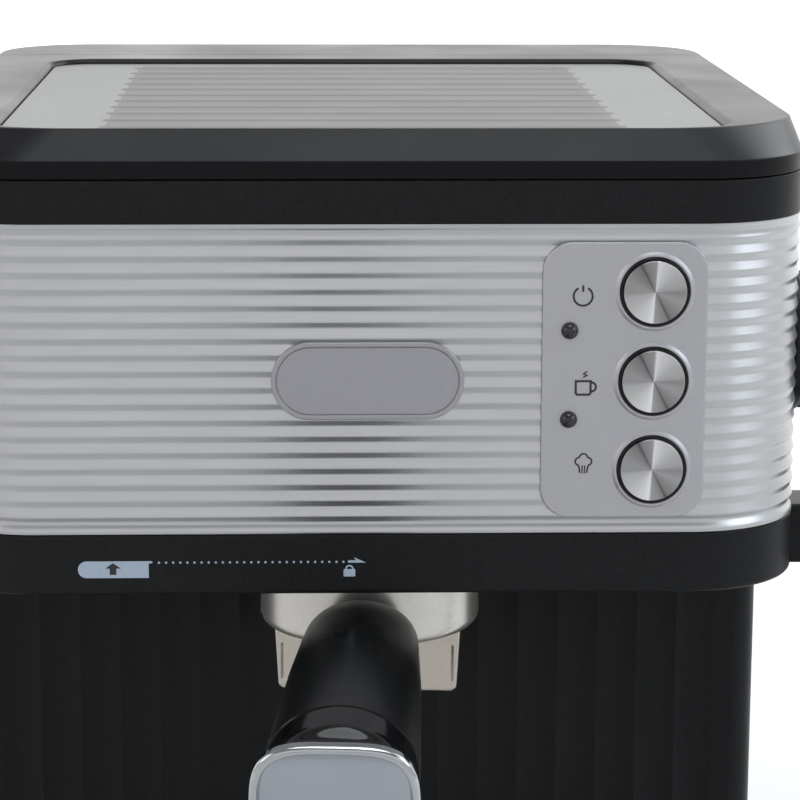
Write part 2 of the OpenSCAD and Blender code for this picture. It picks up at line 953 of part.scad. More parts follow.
module water_tank() {
    start = tank_y + gap;
    color("#3c4248", 0.6)
    difference() {
        slab(base_z + 0.3, lid_z - gap) back_plan(0, start);
        slab(base_z + 0.3 + wall, lid_z) back_plan(wall, start + wall);
        translate([0, valve_y, base_z - 1]) cylinder(d = valve_d - 3.8, h = 6);
    }
}

module tank_valve() {
    color("#c2c4c6")
    translate([0, valve_y, base_z - 7]) {
        cylinder(d = valve_d, h = 7.2);
        cylinder(d = valve_d - 4, h = 14);
    }
}

module tank_lid() {
    start = tank_y + gap;
    color("#26282a")
    union() {
        lid_body(body_h - edge_in) {
            back_plan(0, start);
            back_plan(0, start);
            back_plan(edge_in, start);
        }
        slab(lid_z - 5, lid_z + 0.1) difference() {
            back_plan(wall + gap, start + wall + gap);
            back_plan(wall + gap + 2, start + wall + gap + 2);
        }
    }
}

feet();
bottom_cover();
base_housing();
case_screws();
cord_gland();
valve_seat();
front_cover();
column_shell();
back_panel();
lower_bezel();
ribbed_panel();
upper_band();
top_frame();
cup_plate();
badge();
button_plate();
button_rings();
power_button();
coffee_button();
steam_button();
power_spring();
coffee_spring();
steam_spring();
switch_board();
indicator_lights();
control_board();
chassis_plate();
group_ring();
group_gasket();
shower_screen();
shower_screw();
boiler();
heating_element();
thermostats();
pump();
pump_mounts();
inlet_hose();
pressure_hose();
steam_valve();
steam_pipes();
knob_ring();
steam_knob();
knob_cap();
knob_spindle();
wand_socket();
steam_wand();
froth_sleeve();
portafilter_collar();
filter_basket();
spout_block();
handle_grip();
handle_cap();
handle_bolt();
drip_tray();
drip_grid();
tray_float();
water_tank();
tank_valve();
tank_lid();
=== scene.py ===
# Looks of a pump espresso machine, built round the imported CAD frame.
# Shapes are worked out in millimetres, and a mesh is scaled to metres when it is made.
import math

import bmesh
import bpy
from mathutils import Matrix, Vector


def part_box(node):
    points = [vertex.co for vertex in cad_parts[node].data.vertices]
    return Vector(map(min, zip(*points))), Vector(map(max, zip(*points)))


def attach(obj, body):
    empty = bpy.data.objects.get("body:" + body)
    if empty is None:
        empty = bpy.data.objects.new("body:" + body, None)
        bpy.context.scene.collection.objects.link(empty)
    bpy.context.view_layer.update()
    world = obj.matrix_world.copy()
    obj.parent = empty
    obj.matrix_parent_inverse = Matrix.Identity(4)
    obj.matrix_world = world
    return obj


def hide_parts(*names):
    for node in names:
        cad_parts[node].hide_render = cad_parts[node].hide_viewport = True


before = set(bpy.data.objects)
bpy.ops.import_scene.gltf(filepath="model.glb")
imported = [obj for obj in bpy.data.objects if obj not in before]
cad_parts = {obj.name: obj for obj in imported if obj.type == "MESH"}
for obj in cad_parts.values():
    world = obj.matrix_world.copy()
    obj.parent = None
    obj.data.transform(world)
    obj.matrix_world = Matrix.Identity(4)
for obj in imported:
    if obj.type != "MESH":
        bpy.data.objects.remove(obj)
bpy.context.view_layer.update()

MM = 0.001


def span(node):
    """Lowest and highest corner of a CAD node, in millimetres."""
    low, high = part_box(node)
    return low / MM, high / MM


# ---------------------------------------------------------------- places, from the CAD

PANEL_LO, PANEL_HI = span("ribbed_panel")
TOP_LO, TOP_HI = span("top_frame")
TANK_LO, TANK_HI = span("water_tank")
BASE_LO, BASE_HI = span("base_housing")
TRAY_LO, TRAY_HI = span("drip_tray")
BEZEL_LO, BEZEL_HI = span("lower_bezel")
COVER_LO, COVER_HI = span("front_cover")
PLATE_LO, PLATE_HI = span("button_plate")
BADGE_LO, BADGE_HI = span("badge")
CUP_LO, CUP_HI = span("cup_plate")
GASKET_LO, GASKET_HI = span("group_gasket")
COLLAR_HI = span("portafilter_collar")[1]
SOCKET_LO, SOCKET_HI = span("wand_socket")

HALF_W = PANEL_HI.x
FRONT = PANEL_LO.y
HEAD_END = PANEL_HI.y
BACK = TANK_HI.y
CORNER = 32.0
WALL = 2.5
SHARP = 0.01    # edge radius of a cutting tool
# Radii of the holes that other parts pass through.
GROUP_HOLE_R, PIPE_HOLE_R, SPINDLE_HOLE_R, SEAT_HOLE_R, GLAND_HOLE_R = 37.7, 4, 7, 12.1, 7.1
VALVE_HOLE_R, WAND_HOLE_R, SPOUT_HOLE_R = 6.1, 5.06, 3
GROUP = Vector(((GASKET_LO.x + GASKET_HI.x) / 2, (GASKET_LO.y + GASKET_HI.y) / 2, 0))
HANDLE_Z = 165.5
HANDLE_TURN = math.radians(-4.6)
HANDLE_SLOPE = math.radians(90 + 6.5)

shift = Matrix.Translation
TO_FRONT = Matrix.Rotation(math.pi / 2, 4, "X")
TO_RIGHT = Matrix.Rotation(math.pi / 2, 4, "Y")
ALONG_HANDLE = (
    shift((GROUP.x, GROUP.y, HANDLE_Z))
    @ Matrix.Rotation(HANDLE_TURN, 4, "Z")
    @ Matrix.Rotation(HANDLE_SLOPE, 4, "X")
)


def facing_front(x, y, z):
    """Frame whose +Z points out of the machine's front and whose +Y points up."""
    return shift((x, y, z)) @ TO_FRONT


def facing_right(x, y, z):
    """Frame whose +Z points to the machine's right."""
    return shift((x, y, z)) @ TO_RIGHT


# ---------------------------------------------------------------- outlines and profiles


def arc(cx, cy, r, start, sweep, steps):
    """Points of an arc, its angles in degrees."""
    return [
        (cx + r * math.cos(math.radians(start + sweep * i / steps)),
         cy + r * math.sin(math.radians(start + sweep * i / steps)))
        for i in range(steps + 1)
    ]


def rounded(x0, x1, y0, y1, radii, steps=14):
    """Rounded rectangle; radii go front left, front right, back right, back left."""
    fl, fr, br, bl = radii
    return (
        arc(x0 + fl, y0 + fl, fl, 180, 90, steps)
        + arc(x1 - fr, y0 + fr, fr, 270, 90, steps)
        + arc(x1 - br, y1 - br, br, 0, 90, steps)
        + arc(x0 + bl, y1 - bl, bl, 90, 90, steps)
    )


def box_plan(w, h, r, steps=10):
    """Plan of a centred rounded rectangle; the plan's argument is the inset."""
    def plan(inset):
        rr = max(r - inset, 0.05)
        return rounded(inset - w / 2, w / 2 - inset, inset - h / 2, h / 2 - inset, (rr,) * 4, steps)
    return plan


def circle_plan(r, steps=48):
    return lambda inset: arc(0, 0, r - inset, 0, 360 - 360 / steps, steps - 1)


def head_plan(end, square_back=True):
    """Plan with the body's round front corners, up to y = end."""
    def plan(inset):
        back = 0 if square_back else inset
        small = 0 if square_back else 0.8
        r = max(CORNER - inset, 1)
        return rounded(inset - HALF_W, HALF_W - inset, FRONT + inset, end - back, (r, r, small, small))
    return plan


def rear_plan(start, square_front=True, front_r=0.0):
    """Plan with the body's round back corners, from y = start."""
    def plan(inset):
        front = 0 if square_front else inset
        r, small = max(CORNER - inset, 1), max(front_r - inset, 0.05) if front_r else 0
        return rounded(inset - HALF_W, HALF_W - inset, start + front, BACK - inset, (small, small, r, r))
    return plan


def whole_plan(inset):
    """Plan of the whole body, round at all four corners."""
    r = CORNER - inset
    return rounded(inset - HALF_W, HALF_W - inset, FRONT + inset, BACK - inset, (r,) * 4)


def wrap_plan(end):
    """Open plan round the head's front, from the back left to the back right."""
    def plan(inset):
        r = CORNER - inset
        left, right = inset - HALF_W, HALF_W - inset
        return (
            [(left, end)]
            + arc(left + r, FRONT + inset + r, r, 180, 90, 20)
            + arc(right - r, FRONT + inset + r, r, 270, 90, 20)
            + [(right, end)]
        )
    return plan


def fillet(corners, steps=5):
    """Profile from (inset, height, radius) corners, with each radius worked in."""
    out = []
    for k, (x, z, r) in enumerate(corners):
        p = Vector((x, z))
        if not r or k in (0, len(corners) - 1):
            out.append((x, z))
            continue
        a = (Vector(corners[k - 1][:2]) - p).normalized()
        b = (Vector(corners[k + 1][:2]) - p).normalized()
        half = a.angle(b) / 2
        centre = p + (a + b).normalized() * (r / math.sin(half))
        v0, v1 = p + a * (r / math.tan(half)) - centre, p + b * (r / math.tan(half)) - centre
        start = math.atan2(v0.y, v0.x)
        turn = (math.atan2(v1.y, v1.x) - start + math.pi) % (2 * math.pi) - math.pi
        out += [
            (centre.x + r * math.cos(start + turn * i / steps),
             centre.y + r * math.sin(start + turn * i / steps))
            for i in range(steps + 1)
        ]
    return out


# ---------------------------------------------------------------- solids


def loft(rings, closed=True, caps=(True, True), ring_of_rings=False):
    """Part through rings of equal length. With ring_of_rings, the last joins the first."""
    n, count = len(rings[0]), len(rings)
    points = [p for ring in rings for p in ring]
    faces = []
    for i in range(count if ring_of_rings else count - 1):
        a, b = i * n, (i + 1) % count * n
        for j in range(n if closed else n - 1):
            k = (j + 1) % n
            faces.append((a + j, a + k, b + k, b + j))
    if ring_of_rings and not closed:
        faces += [tuple(i * n for i in range(count)), tuple(i * n + n - 1 for i in range(count))]
    if not ring_of_rings:
        if caps[0]:
            faces.append(tuple(range(n)))
        if caps[1]:
            faces.append(tuple((count - 1) * n + j for j in range(n)))
    return points, faces


def sweep(plan, profile, **kw):
    """Part whose plan is inset and raised as the profile says."""
    return loft([[(x, y, z) for x, y in plan(i)] for i, z in profile], **kw)


def slab(plan, z0, z1, r=0.4, top_r=None):
    """Solid between two heights, with rounded edges."""
    top_r = r if top_r is None else top_r
    return sweep(plan, fillet([(r + 1, z0, 0), (0, z0, r), (0, z1, top_r), (top_r + 1, z1, 0)]))


def revolve(profile, steps=64, ring=False):
    """Part from (radius, height) points turned about Z."""
    rings = [[(r * math.cos(a), r * math.sin(a), z)
              for a in (2 * math.pi * j / steps for j in range(steps))] for r, z in profile]
    caps = (profile[0][0] > 0 and not ring, profile[-1][0] > 0 and not ring)
    return loft(rings, caps=caps, ring_of_rings=ring)


def pipe(path, r, steps=24):
    """Round tube along a path of close points."""
    path = [Vector(p) for p in path]
    rings, side = [], None
    for k, p in enumerate(path):
        t = (path[min(k + 1, len(path) - 1)] - path[max(k - 1, 0)]).normalized()
        if side is None:
            side = t.orthogonal().normalized()
        side = (side - t * side.dot(t)).normalized()
        up = t.cross(side)
        rings.append([p + side * (r * math.cos(a)) + up * (r * math.sin(a))
                      for a in (2 * math.pi * j / steps for j in range(steps))])
    return loft(rings)


def bend(points, r, steps=8):
    """Path through points, with each corner rounded."""
    points = [Vector(p) for p in points]
    out = [points[0]]
    for a, p, b in zip(points, points[1:], points[2:]):
        u, v = (a - p).normalized(), (b - p).normalized()
        t = r / math.tan(u.angle(v) / 2)
        p0, p1 = p + u * t, p + v * t
        out += [p0.lerp(p, s).lerp(p.lerp(p1, s), s) for s in (i / steps for i in range(steps + 1))]
    return out + [points[-1]]


def stroke(points, width, height, closed=False):
    """Raised line of even width along flat points, lying on Z = 0."""
    n, rings = len(points), []
    for k, p in enumerate(points):
        p = Vector(p)
        a = Vector(points[(k - 1) % n if closed else max(k - 1, 0)])
        b = Vector(points[(k + 1) % n if closed else min(k + 1, n - 1)])
        u = (p - a).normalized() if p != a else (b - p).normalized()
        v = (b - p).normalized() if p != b else u
        side = Vector((-(u + v).y, (u + v).x)).normalized()
        side *= width / 2 / max(0.4, side.dot(Vector((-u.y, u.x))))
        rings.append([(*(p - side), -height), (*(p + side), -height),
                      (*(p + side), height), (*(p - side), height)])
    return loft(rings, ring_of_rings=closed)


def plate(outline, height):
    """Flat raised shape from its outline."""
    return loft([[(x, y, -height) for x, y in outline], [(x, y, height) for x, y in outline]])


def moved(part, matrix):
    """The same part, moved by a matrix."""
    return [matrix @ Vector(p) for p in part[0]], part[1]


def make(name, parts, body, slot, replaces=(), finish=None, at=None, crisp=32, soft=True):
    """A piece from parts in millimetres. With at, its own origin and axes are that frame's.
    It has the slot's own look, unless finish names another. crisp is the angle of a sharp edge."""
    mesh = bpy.data.meshes.new(name)
    whole = bmesh.new()
    for points, faces in parts:
        one = bmesh.new()
        verts = [one.verts.new(Vector(p) * MM) for p in points]
        for face in faces:
            one.faces.new([verts[i] for i in face])
        bmesh.ops.remove_doubles(one, verts=one.verts, dist=2e-6)
        bmesh.ops.recalc_face_normals(one, faces=one.faces)
        scratch = bpy.data.meshes.new("scratch")
        one.to_mesh(scratch)
        whole.from_mesh(scratch)
        one.free()
        bpy.data.meshes.remove(scratch)
    whole.to_mesh(mesh)
    whole.free()
    obj = bpy.data.objects.new(name, mesh)
    bpy.context.scene.collection.objects.link(obj)
    if at is not None:
        obj.matrix_world = shift(at.to_translation() * MM) @ at.to_quaternion().to_matrix().to_4x4()
    shade(obj, crisp)
    if body is None:
        return obj
    if soft:
        weighted = obj.modifiers.new("weighted normals", "WEIGHTED_NORMAL")
        weighted.keep_sharp = True
    mesh.materials.append(LOOKS[finish or slot])
    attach(obj, body)
    if replaces:
        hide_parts(*replaces)
    return obj


def shade(obj, crisp=32):
    """Smooth shading, with edges sharper than crisp degrees kept."""
    obj.data.shade_smooth()
    obj.data.set_sharp_from_angle(angle=math.radians(crisp))


def cut(obj, parts, at=None, crisp=32):
    """Takes closed parts out of a piece."""
    tool = make(obj.name + "-tool", parts, None, None, at=at)
    kept = [(m.name, m.type) for m in obj.modifiers]
    obj.modifiers.clear()
    hole = obj.modifiers.new("cut", "BOOLEAN")
    hole.operation, hole.solver, hole.object = "DIFFERENCE", "EXACT", tool
    bpy.context.view_layer.update()
    result = bpy.data.meshes.new_from_object(obj.evaluated_get(bpy.context.evaluated_depsgraph_get()))
    obj.modifiers.clear()
    obj.data = result
    bpy.data.objects.remove(tool)
    shade(obj, crisp)
    for name, kind in kept:
        obj.modifiers.new(name, kind).keep_sharp = True
    return obj


# ---------------------------------------------------------------- materials


def srgb(r, g, b):
    """Shader colour from the 0 to 255 numbers of a screen colour."""
    def linear(c):
        c /= 255
        return c / 12.92 if c <= 0.04045 else ((c + 0.055) / 1.055) ** 2.4
    return linear(r), linear(g), linear(b)


def add_node(tree, kind, **values):
    """A shader node with some of its inputs set."""
    node = tree.nodes.new(kind)
    for name, value in values.items():
        node.inputs[name.replace("_", " ")].default_value = value
    return node


def ramp(tree, source, stops):
    node = tree.nodes.new("ShaderNodeValToRGB")
    while len(node.color_ramp.elements) < len(stops):
        node.color_ramp.elements.new(0.5)
    for element, (place, colour) in zip(node.color_ramp.elements, stops):
        element.position = place
        element.color = (*colour, 1)
    tree.links.new(source, node.inputs["Fac"])
    return node.outputs["Color"]


def spread(tree, source, low, high, inside=(0.3, 0.7)):
    """The part of a value inside two limits, stretched from low to high."""
    node = add_node(tree, "ShaderNodeMapRange", From_Min=inside[0], From_Max=inside[1], To_Min=low,
                    To_Max=high)
    tree.links.new(source, node.inputs["Value"])
    return node.outputs["Result"]


def look(name, colour, rough, metal=0.0, vary=0.08, rough_vary=0.04, grain=900, stretch=(1, 1, 1),
         bump=0.15, depth=0.00005, pattern=None, **sockets):
    """Material with fine grain in its colour, gloss and surface, and broad faint smudges.
    A pattern takes the node tree and the coordinates and returns the colour's output."""
    mat = bpy.data.materials.new(name)
    mat.use_nodes = True
    tree = mat.node_tree
    shader = tree.nodes["Principled BSDF"]
    coords = tree.nodes.new("ShaderNodeTexCoord")
    place = add_node(tree, "ShaderNodeMapping", Scale=stretch)
    tree.links.new(coords.outputs["Object"], place.inputs["Vector"])
    fine = add_node(tree, "ShaderNodeTexNoise", Scale=grain, Detail=3)
    tree.links.new(place.outputs["Vector"], fine.inputs["Vector"])
    smudge = add_node(tree, "ShaderNodeTexNoise", Scale=22, Detail=5)
    tree.links.new(coords.outputs["Object"], smudge.inputs["Vector"])
    if pattern:
        base = pattern(tree, coords.outputs["Object"])
    else:
        base = ramp(tree, fine.outputs["Fac"], [
            (0.3, [c * (1 - vary) for c in colour]), (0.7, [min(1, c * (1 + vary)) for c in colour])])
    tree.links.new(base, shader.inputs["Base Color"])
    tree.links.new(spread(tree, smudge.outputs["Fac"], rough - rough_vary, rough + rough_vary),
                   shader.inputs["Roughness"])
    raised = add_node(tree, "ShaderNodeBump", Strength=bump, Distance=depth)
    tree.links.new(fine.outputs["Fac"], raised.inputs["Height"])
    tree.links.new(raised.outputs["Normal"], shader.inputs["Normal"])
    shader.inputs["Metallic"].default_value = metal
    for socket, value in sockets.items():
        shader.inputs[socket.replace("_", " ")].default_value = value
    return mat


def turned_painted_sheen(tree, coords):
    """Painted reflection: cone-shaped light and dark sectors stand in for the highlights of a lathe-turned
    face; the fine rings are its turning marks.
    """
    around = tree.nodes.new("ShaderNodeTexGradient")
    around.gradient_type = "RADIAL"
    tree.links.new(coords, around.inputs["Vector"])
    # Painted reflection: these bright and dark sectors, the second half a little darker, are fixed to the
    # part.
    half = [(0.0, 0.36), (0.03, 0.52), (0.10, 0.60), (0.19, 0.80), (0.235, 0.95), (0.247, 0.42),
            (0.31, 0.30), (0.328, 0.12), (0.34, 0.26), (0.44, 0.42)]
    stops = [(a, v) for a, v in half] + [(0.5 + a, v * 0.9) for a, v in half]
    sectors = ramp(tree, around.outputs["Fac"], [(a, (v, v, v * 1.01)) for a, v in stops])
    rings = add_node(tree, "ShaderNodeTexWave", Scale=700, Distortion=1.5)
    rings.wave_type, rings.rings_direction = "RINGS", "Z"
    tree.links.new(coords, rings.inputs["Vector"])
    mix = tree.nodes.new("ShaderNodeMix")
    mix.data_type, mix.blend_type = "RGBA", "MULTIPLY"
    mix.inputs["Factor"].default_value = 0.07
    tree.links.new(sectors, mix.inputs["A"])
    tree.links.new(rings.outputs["Color"], mix.inputs["B"])
    return mix.outputs["Result"]


ALONG_X = (0.02, 1, 1)
LOOKS = {
    "casing_black": look("casing plastic", srgb(28, 29, 30), 0.38, grain=1400, vary=0.2, bump=0.25,
                         Specular_IOR_Level=0.12),
    "satin_black": look("lid plastic", srgb(17, 18, 20), 0.34, grain=1500, vary=0.15, bump=0.2,
                        Specular_IOR_Level=0.13),
    "ribbed_silver": look("ribbed silver", srgb(192, 193, 195), 0.34, 1.0, grain=700,
                          stretch=(0.05, 0.05, 1), vary=0.035, bump=0.08),
    "plate_silver": look("blasted silver", srgb(184, 184, 188), 0.46, 0.85, grain=2200, vary=0.05,
                         bump=0.2),
    "badge_grey": look("badge silver", srgb(168, 168, 173), 0.42, 0.85, grain=2400, vary=0.05, bump=0.2),
    # Painted shade: the ribs' steel is a darker copy of the cup plate's steel, though both are one metal.
    "rib_steel_painted_shade": look("ribbed steel", srgb(116, 117, 116), 0.5, 1.0, grain=1500, stretch=ALONG_X,
                      vary=0.06, rough_vary=0.015, bump=0.12),
    "warmer_steel": look("brushed steel", srgb(142, 143, 144), 0.48, 1.0, grain=1500, stretch=ALONG_X,
                         vary=0.06, rough_vary=0.015, bump=0.12),
    "gloss_black": look("gloss black", srgb(10, 11, 12), 0.12, grain=300, vary=0.15, bump=0.03,
                        Specular_IOR_Level=0.3),
    # Painted reflection: this steel's colour holds light and dark sectors that stand in for the turned
    # face's highlights.
    "turned_steel": look("turned steel painted sheen", None, 0.3, 0.9, pattern=turned_painted_sheen, bump=0.05),
    "spring_steel": look("spring steel", srgb(170, 172, 175), 0.3, 1.0),
    "circuit_board": look("circuit board", srgb(38, 92, 60), 0.5, grain=260, vary=0.3),
    "smoked_lens": look("smoked lens", srgb(34, 35, 38), 0.2, grain=500, vary=0.2, bump=0.05),
    "sheet_steel": look("sheet steel", srgb(178, 180, 183), 0.38, 1.0, grain=1200, stretch=ALONG_X),
    "cast_metal": look("cast metal", srgb(150, 152, 154), 0.48, 0.9, grain=600, vary=0.14, bump=0.5),
    "silicone": look("silicone", srgb(140, 84, 68), 0.55, grain=400, vary=0.1),
    "stainless": look("stainless", srgb(205, 206, 208), 0.2, 1.0, grain=1500, vary=0.05, bump=0.08),
    "copper": look("copper tube", srgb(196, 140, 104), 0.3, 1.0, grain=500, vary=0.12),
    "component_black": look("component black", srgb(36, 37, 39), 0.5, grain=700, vary=0.25),
    "clear_hose": look("hose silicone", srgb(214, 208, 196), 0.4, grain=500, vary=0.06),
    "brass": look("brass", srgb(190, 158, 92), 0.32, 1.0, grain=600, vary=0.1),
    "collar_steel": look("satin collar", srgb(208, 205, 199), 0.28, 0.8, grain=600, vary=0.03, bump=0.01),
    "chrome": look("chrome", srgb(214, 213, 210), 0.12, 1.0, grain=120, vary=0.02, rough_vary=0.02,
                   bump=0.02),
    "spout_metal": look("spout metal", srgb(190, 184, 174), 0.24, 1.0, grain=800, vary=0.04, bump=0.06),
    "knob_black": look("knob plastic", srgb(22, 23, 24), 0.36, grain=1300, vary=0.2, bump=0.2,
                       Specular_IOR_Level=0.2),
    "grip_black": look("grip plastic", srgb(13, 14, 15), 0.3, grain=1500, vary=0.18, bump=0.05,
                       Specular_IOR_Level=0.3),
    "bolt_steel": look("bolt steel", srgb(180, 182, 184), 0.35, 1.0, grain=500),
    "float_red": look("float plastic", srgb(178, 48, 40), 0.35, grain=700, vary=0.08),
    "rubber": look("foot rubber", srgb(34, 35, 37), 0.75, grain=1500, vary=0.25, bump=0.4),
    "tank_smoke": look("smoked tank", srgb(66, 71, 76), 0.12, grain=60, vary=0.05, rough_vary=0.03,
                       bump=0.01, Transmission_Weight=0.3, IOR=1.46),
    "print_grey": look("pale print", srgb(168, 184, 202), 0.5, grain=1200, vary=0.06),
    "print_dark": look("dark print", srgb(38, 39, 42), 0.5, grain=1200, vary=0.12),
    # Painted shade and reflection: the rim's chrome is a darker copy of the chrome, and the face's is a
    # darker, bluer copy that carries a painted blue reflection tint.
    "rim_chrome_painted_shade": look("mirror rim", srgb(184, 187, 190), 0.1, 1.0, grain=120, vary=0.02,
                       rough_vary=0.02, bump=0.02),
    "face_chrome_painted_reflection": look("mirror face", srgb(168, 174, 181), 0.14, 1.0, grain=120, vary=0.02, bump=0.02),
}

# ---------------------------------------------------------------- head: panel, band, bezel

RIB_PITCH, FIRST_CREST, RIB_COUNT = 4.473, 4.9, 18
RIB = [(0.0, 0.0), (0.2, 0.02), (0.45, 0.09), (2.2, 0.52), (2.5, 0.6), (2.7, 0.63), (2.9, 0.6),
       (3.1, 0.52), (4.08, 0.12), (4.28, 0.03)]


def ribbed_profile():
    """Section of the panel from foot to top, with its inner face."""
    base, top = PANEL_LO.z, PANEL_HI.z
    outer = [(0.25, base), (0.02, base + 0.25), (0.0, base + 0.6), (0.2, base + 1.5), (0.62, base + 2.2),
             (1.05, base + 2.9), (1.12, base + 3.3), (0.95, base + 3.7), (0.35, base + 4.4),
             (0.06, base + 4.75)]
    for k in range(RIB_COUNT):
        crest = base + FIRST_CREST + k * RIB_PITCH
        outer += [(inset, crest + dz) for dz, inset in RIB if crest + dz < top - 1.9]
    outer += [(0.60, top - 1.8), (0.45, top - 1.55), (0.2, top - 1.1), (0.08, top - 0.6), (0.1, top)]
    return outer + [(1.6, top), (1.6, base)]


panel = make("ribbed_wrap",
             [sweep(wrap_plan(HEAD_END), ribbed_profile(), closed=False, ring_of_rings=True)],
             "housing", "ribbed_silver", ["ribbed_panel"], crisp=50, soft=False)
plate_w, plate_h = PLATE_HI.x - PLATE_LO.x, PLATE_HI.z - PLATE_LO.z
PLATE_MID = Vector(((PLATE_LO.x + PLATE_HI.x) / 2, PLATE_HI.y, (PLATE_LO.z + PLATE_HI.z) / 2))
PLATE_AT = facing_front(*PLATE_MID)
PLATE_FACE = 2.3
cut(panel, [slab(box_plan(plate_w + 0.1, plate_h + 0.1, 8.05), -3, 6, SHARP)], at=PLATE_AT, crisp=50)
KNOB_LO, KNOB_HI = span("steam_knob")
KNOB_Y, KNOB_Z = (KNOB_LO.y + KNOB_HI.y) / 2, (KNOB_LO.z + KNOB_HI.z) / 2
cut(panel, [slab(circle_plan(SPINDLE_HOLE_R), -6, 6, SHARP)],
    at=facing_right(HALF_W, KNOB_Y, KNOB_Z), crisp=50)

BAND_LO, BAND_HI = span("upper_band")
make("band_wrap", [sweep(wrap_plan(HEAD_END - WALL - 0.2), fillet([
    (WALL, BAND_LO.z, 0), (0, BAND_LO.z, 0.5), (0, BAND_HI.z, 0.5), (WALL, BAND_HI.z, 0)]),
    closed=False, ring_of_rings=True)], "housing", "casing_black", ["upper_band"])

bezel = make("bezel_shell", [sweep(head_plan(HEAD_END, False), fillet([
    (4, BEZEL_LO.z, 0), (0, BEZEL_LO.z, 1.6), (0, BEZEL_HI.z, 0.7), (WALL, BEZEL_HI.z, 0.3),
    (WALL, BEZEL_LO.z + WALL, 0.8), (6, BEZEL_LO.z + WALL, 0)]))],
    "housing", "casing_black", ["lower_bezel"])
cut(bezel, [slab(circle_plan(GROUP_HOLE_R, 72), BEZEL_LO.z - 2, BEZEL_LO.z + 6, SHARP)], at=shift(GROUP))
cut(bezel, [slab(circle_plan(PIPE_HOLE_R), -6, 6, SHARP)],
    at=facing_right(HALF_W, (SOCKET_LO.y + SOCKET_HI.y) / 2, SOCKET_HI.z - 8.5))

# ---------------------------------------------------------------- top: frame, cup plate, tank lid

CHAMFER, TOP_R = 9.8, 40.0
LID_EDGE = 2.1                     # rounding of the lid's side and rear edges
LIP_DROP, LIP_INSET = 0.7, 2.6     # underside lip that closes the seam with the band
RECESS_FLOOR = TOP_HI.z - 3.4
RECESS_GAP, RECESS_R, RECESS_EDGE = 0.6, 14, 2.4
FRONT_TIGHTER = 0.54               # share by which the recess's front edge is tighter
cup_w, cup_d = CUP_HI.x - CUP_LO.x, CUP_HI.y - CUP_LO.y
CUP_MID = Vector(((CUP_LO.x + CUP_HI.x) / 2, (CUP_LO.y + CUP_HI.y) / 2, 0))


def recess(inset):
    """Outline of the cup plate's recess, whose rounded edge is tighter along the front."""
    plan = box_plan(cup_w + RECESS_GAP, cup_d + RECESS_GAP, RECESS_R, 20)(inset)
    return [(x + CUP_MID.x, y + CUP_MID.y - (FRONT_TIGHTER * inset if y < 0 else 0)) for x, y in plan]


def lid_ring(side, front, r, z):
    """Outline of the head with its own insets at the sides and the front."""
    x, y = HALF_W - side, FRONT + front
    return [(px, py, z) for px, py in rounded(-x, x, y, HEAD_END, (r, r, 0, 0), 20)]


def lid_rings():
    """Upright edge, then the front chamfer, which dies away round the corners."""
    out = [lid_ring(i, i, CORNER - i, z) for i, z in fillet([
        (5, TOP_LO.z - LIP_DROP, 0), (LIP_INSET, TOP_LO.z - LIP_DROP, 0), (LIP_INSET, TOP_LO.z, 0),
        (0, TOP_LO.z, 0.4), (0, TOP_LO.z + 3.0, 0)])]
    low, high = TOP_LO.z + 4.2, TOP_HI.z - 2.2
    front_profile = fillet([(0, low - 0.6, 0), (0, low + 0.6, 0.7), (CHAMFER, TOP_HI.z, 1.4),
        (CHAMFER + 0.7, TOP_HI.z, 0)], 7)
    side_profile = fillet([(0, high, 0), (0, TOP_HI.z, LID_EDGE), (CHAMFER + 4, TOP_HI.z, 0)], 9)
    for front, z in front_profile:
        side = 0.0
        for (i0, z0), (i1, z1) in zip(side_profile, side_profile[1:]):
            if z0 < z <= z1:
                side = i0 + (i1 - i0) * (z - z0) / (z1 - z0)
        if z >= TOP_HI.z - 1e-6:
            side = max(LID_EDGE, front - CHAMFER + LID_EDGE)
        share = min(1.0, front / CHAMFER)
        out.append(lid_ring(side, front, CORNER + (TOP_R - CORNER) * share, z))
    return out


top_rings = lid_rings()
top_rings += [[(x, y, z) for x, y in recess(i)]
              for i, z in fillet([
                  (-RECESS_EDGE, TOP_HI.z, 0), (0, TOP_HI.z, RECESS_EDGE), (0, RECESS_FLOOR, 0)], 8)]
make("lid_frame", [loft(top_rings)], "housing", "satin_black", ["top_frame"])

LID_LO = span("tank_lid")[0]
lid_start = LID_LO.y if LID_LO.y > HEAD_END else TANK_LO.y
make("tank_cover", [
    sweep(rear_plan(lid_start), fillet([
        (4, TOP_LO.z, 0), (0, TOP_LO.z, 0.4), (0, TOP_HI.z, LID_EDGE), (13, TOP_HI.z, 0)], 9)),
    sweep(rear_plan(lid_start, False), fillet([
        (3, TOP_LO.z + 0.2, 0), (3, LID_LO.z, 0.3), (5, LID_LO.z, 0.3), (5, TOP_LO.z + 0.2, 0)], 2),
        ring_of_rings=True),
], "tank_lid", "satin_black", ["tank_lid"])

CUP_TOP = CUP_HI.z - 0.9
CUP_R, DOME = 13.7, 0.54           # the plate's corners, and how far a rib stands up
RIB_FIRST, RIB_STEP, RIB_BARS, RIB_W, RIB_D = 7.4, 17.0, 11, 148.0, 14.2
make("cup_rest", [moved(slab(box_plan(cup_w, cup_d, CUP_R, 16), CUP_LO.z + 0.1, CUP_TOP, 0.5),
    shift(CUP_MID))],
     "housing", "warmer_steel", ["cup_plate"], crisp=40)
field_start = CUP_LO.y + RIB_FIRST
field_d = (RIB_BARS - 1) * RIB_STEP + RIB_D
rib_parts = [moved(slab(box_plan(RIB_W - 7, field_d - 1, 3, 8), CUP_TOP - 0.4, CUP_TOP + 0.12, 0.05),
                   shift((CUP_MID.x, field_start + field_d / 2, 0)))]
dome = [(i, CUP_TOP - 0.2 + DOME * math.sin(math.pi / 2 * min(1, i / 6.6))) for i in
        (0, 0.5, 1.1, 1.9, 2.9, 4.0, 5.2, 6.6)]
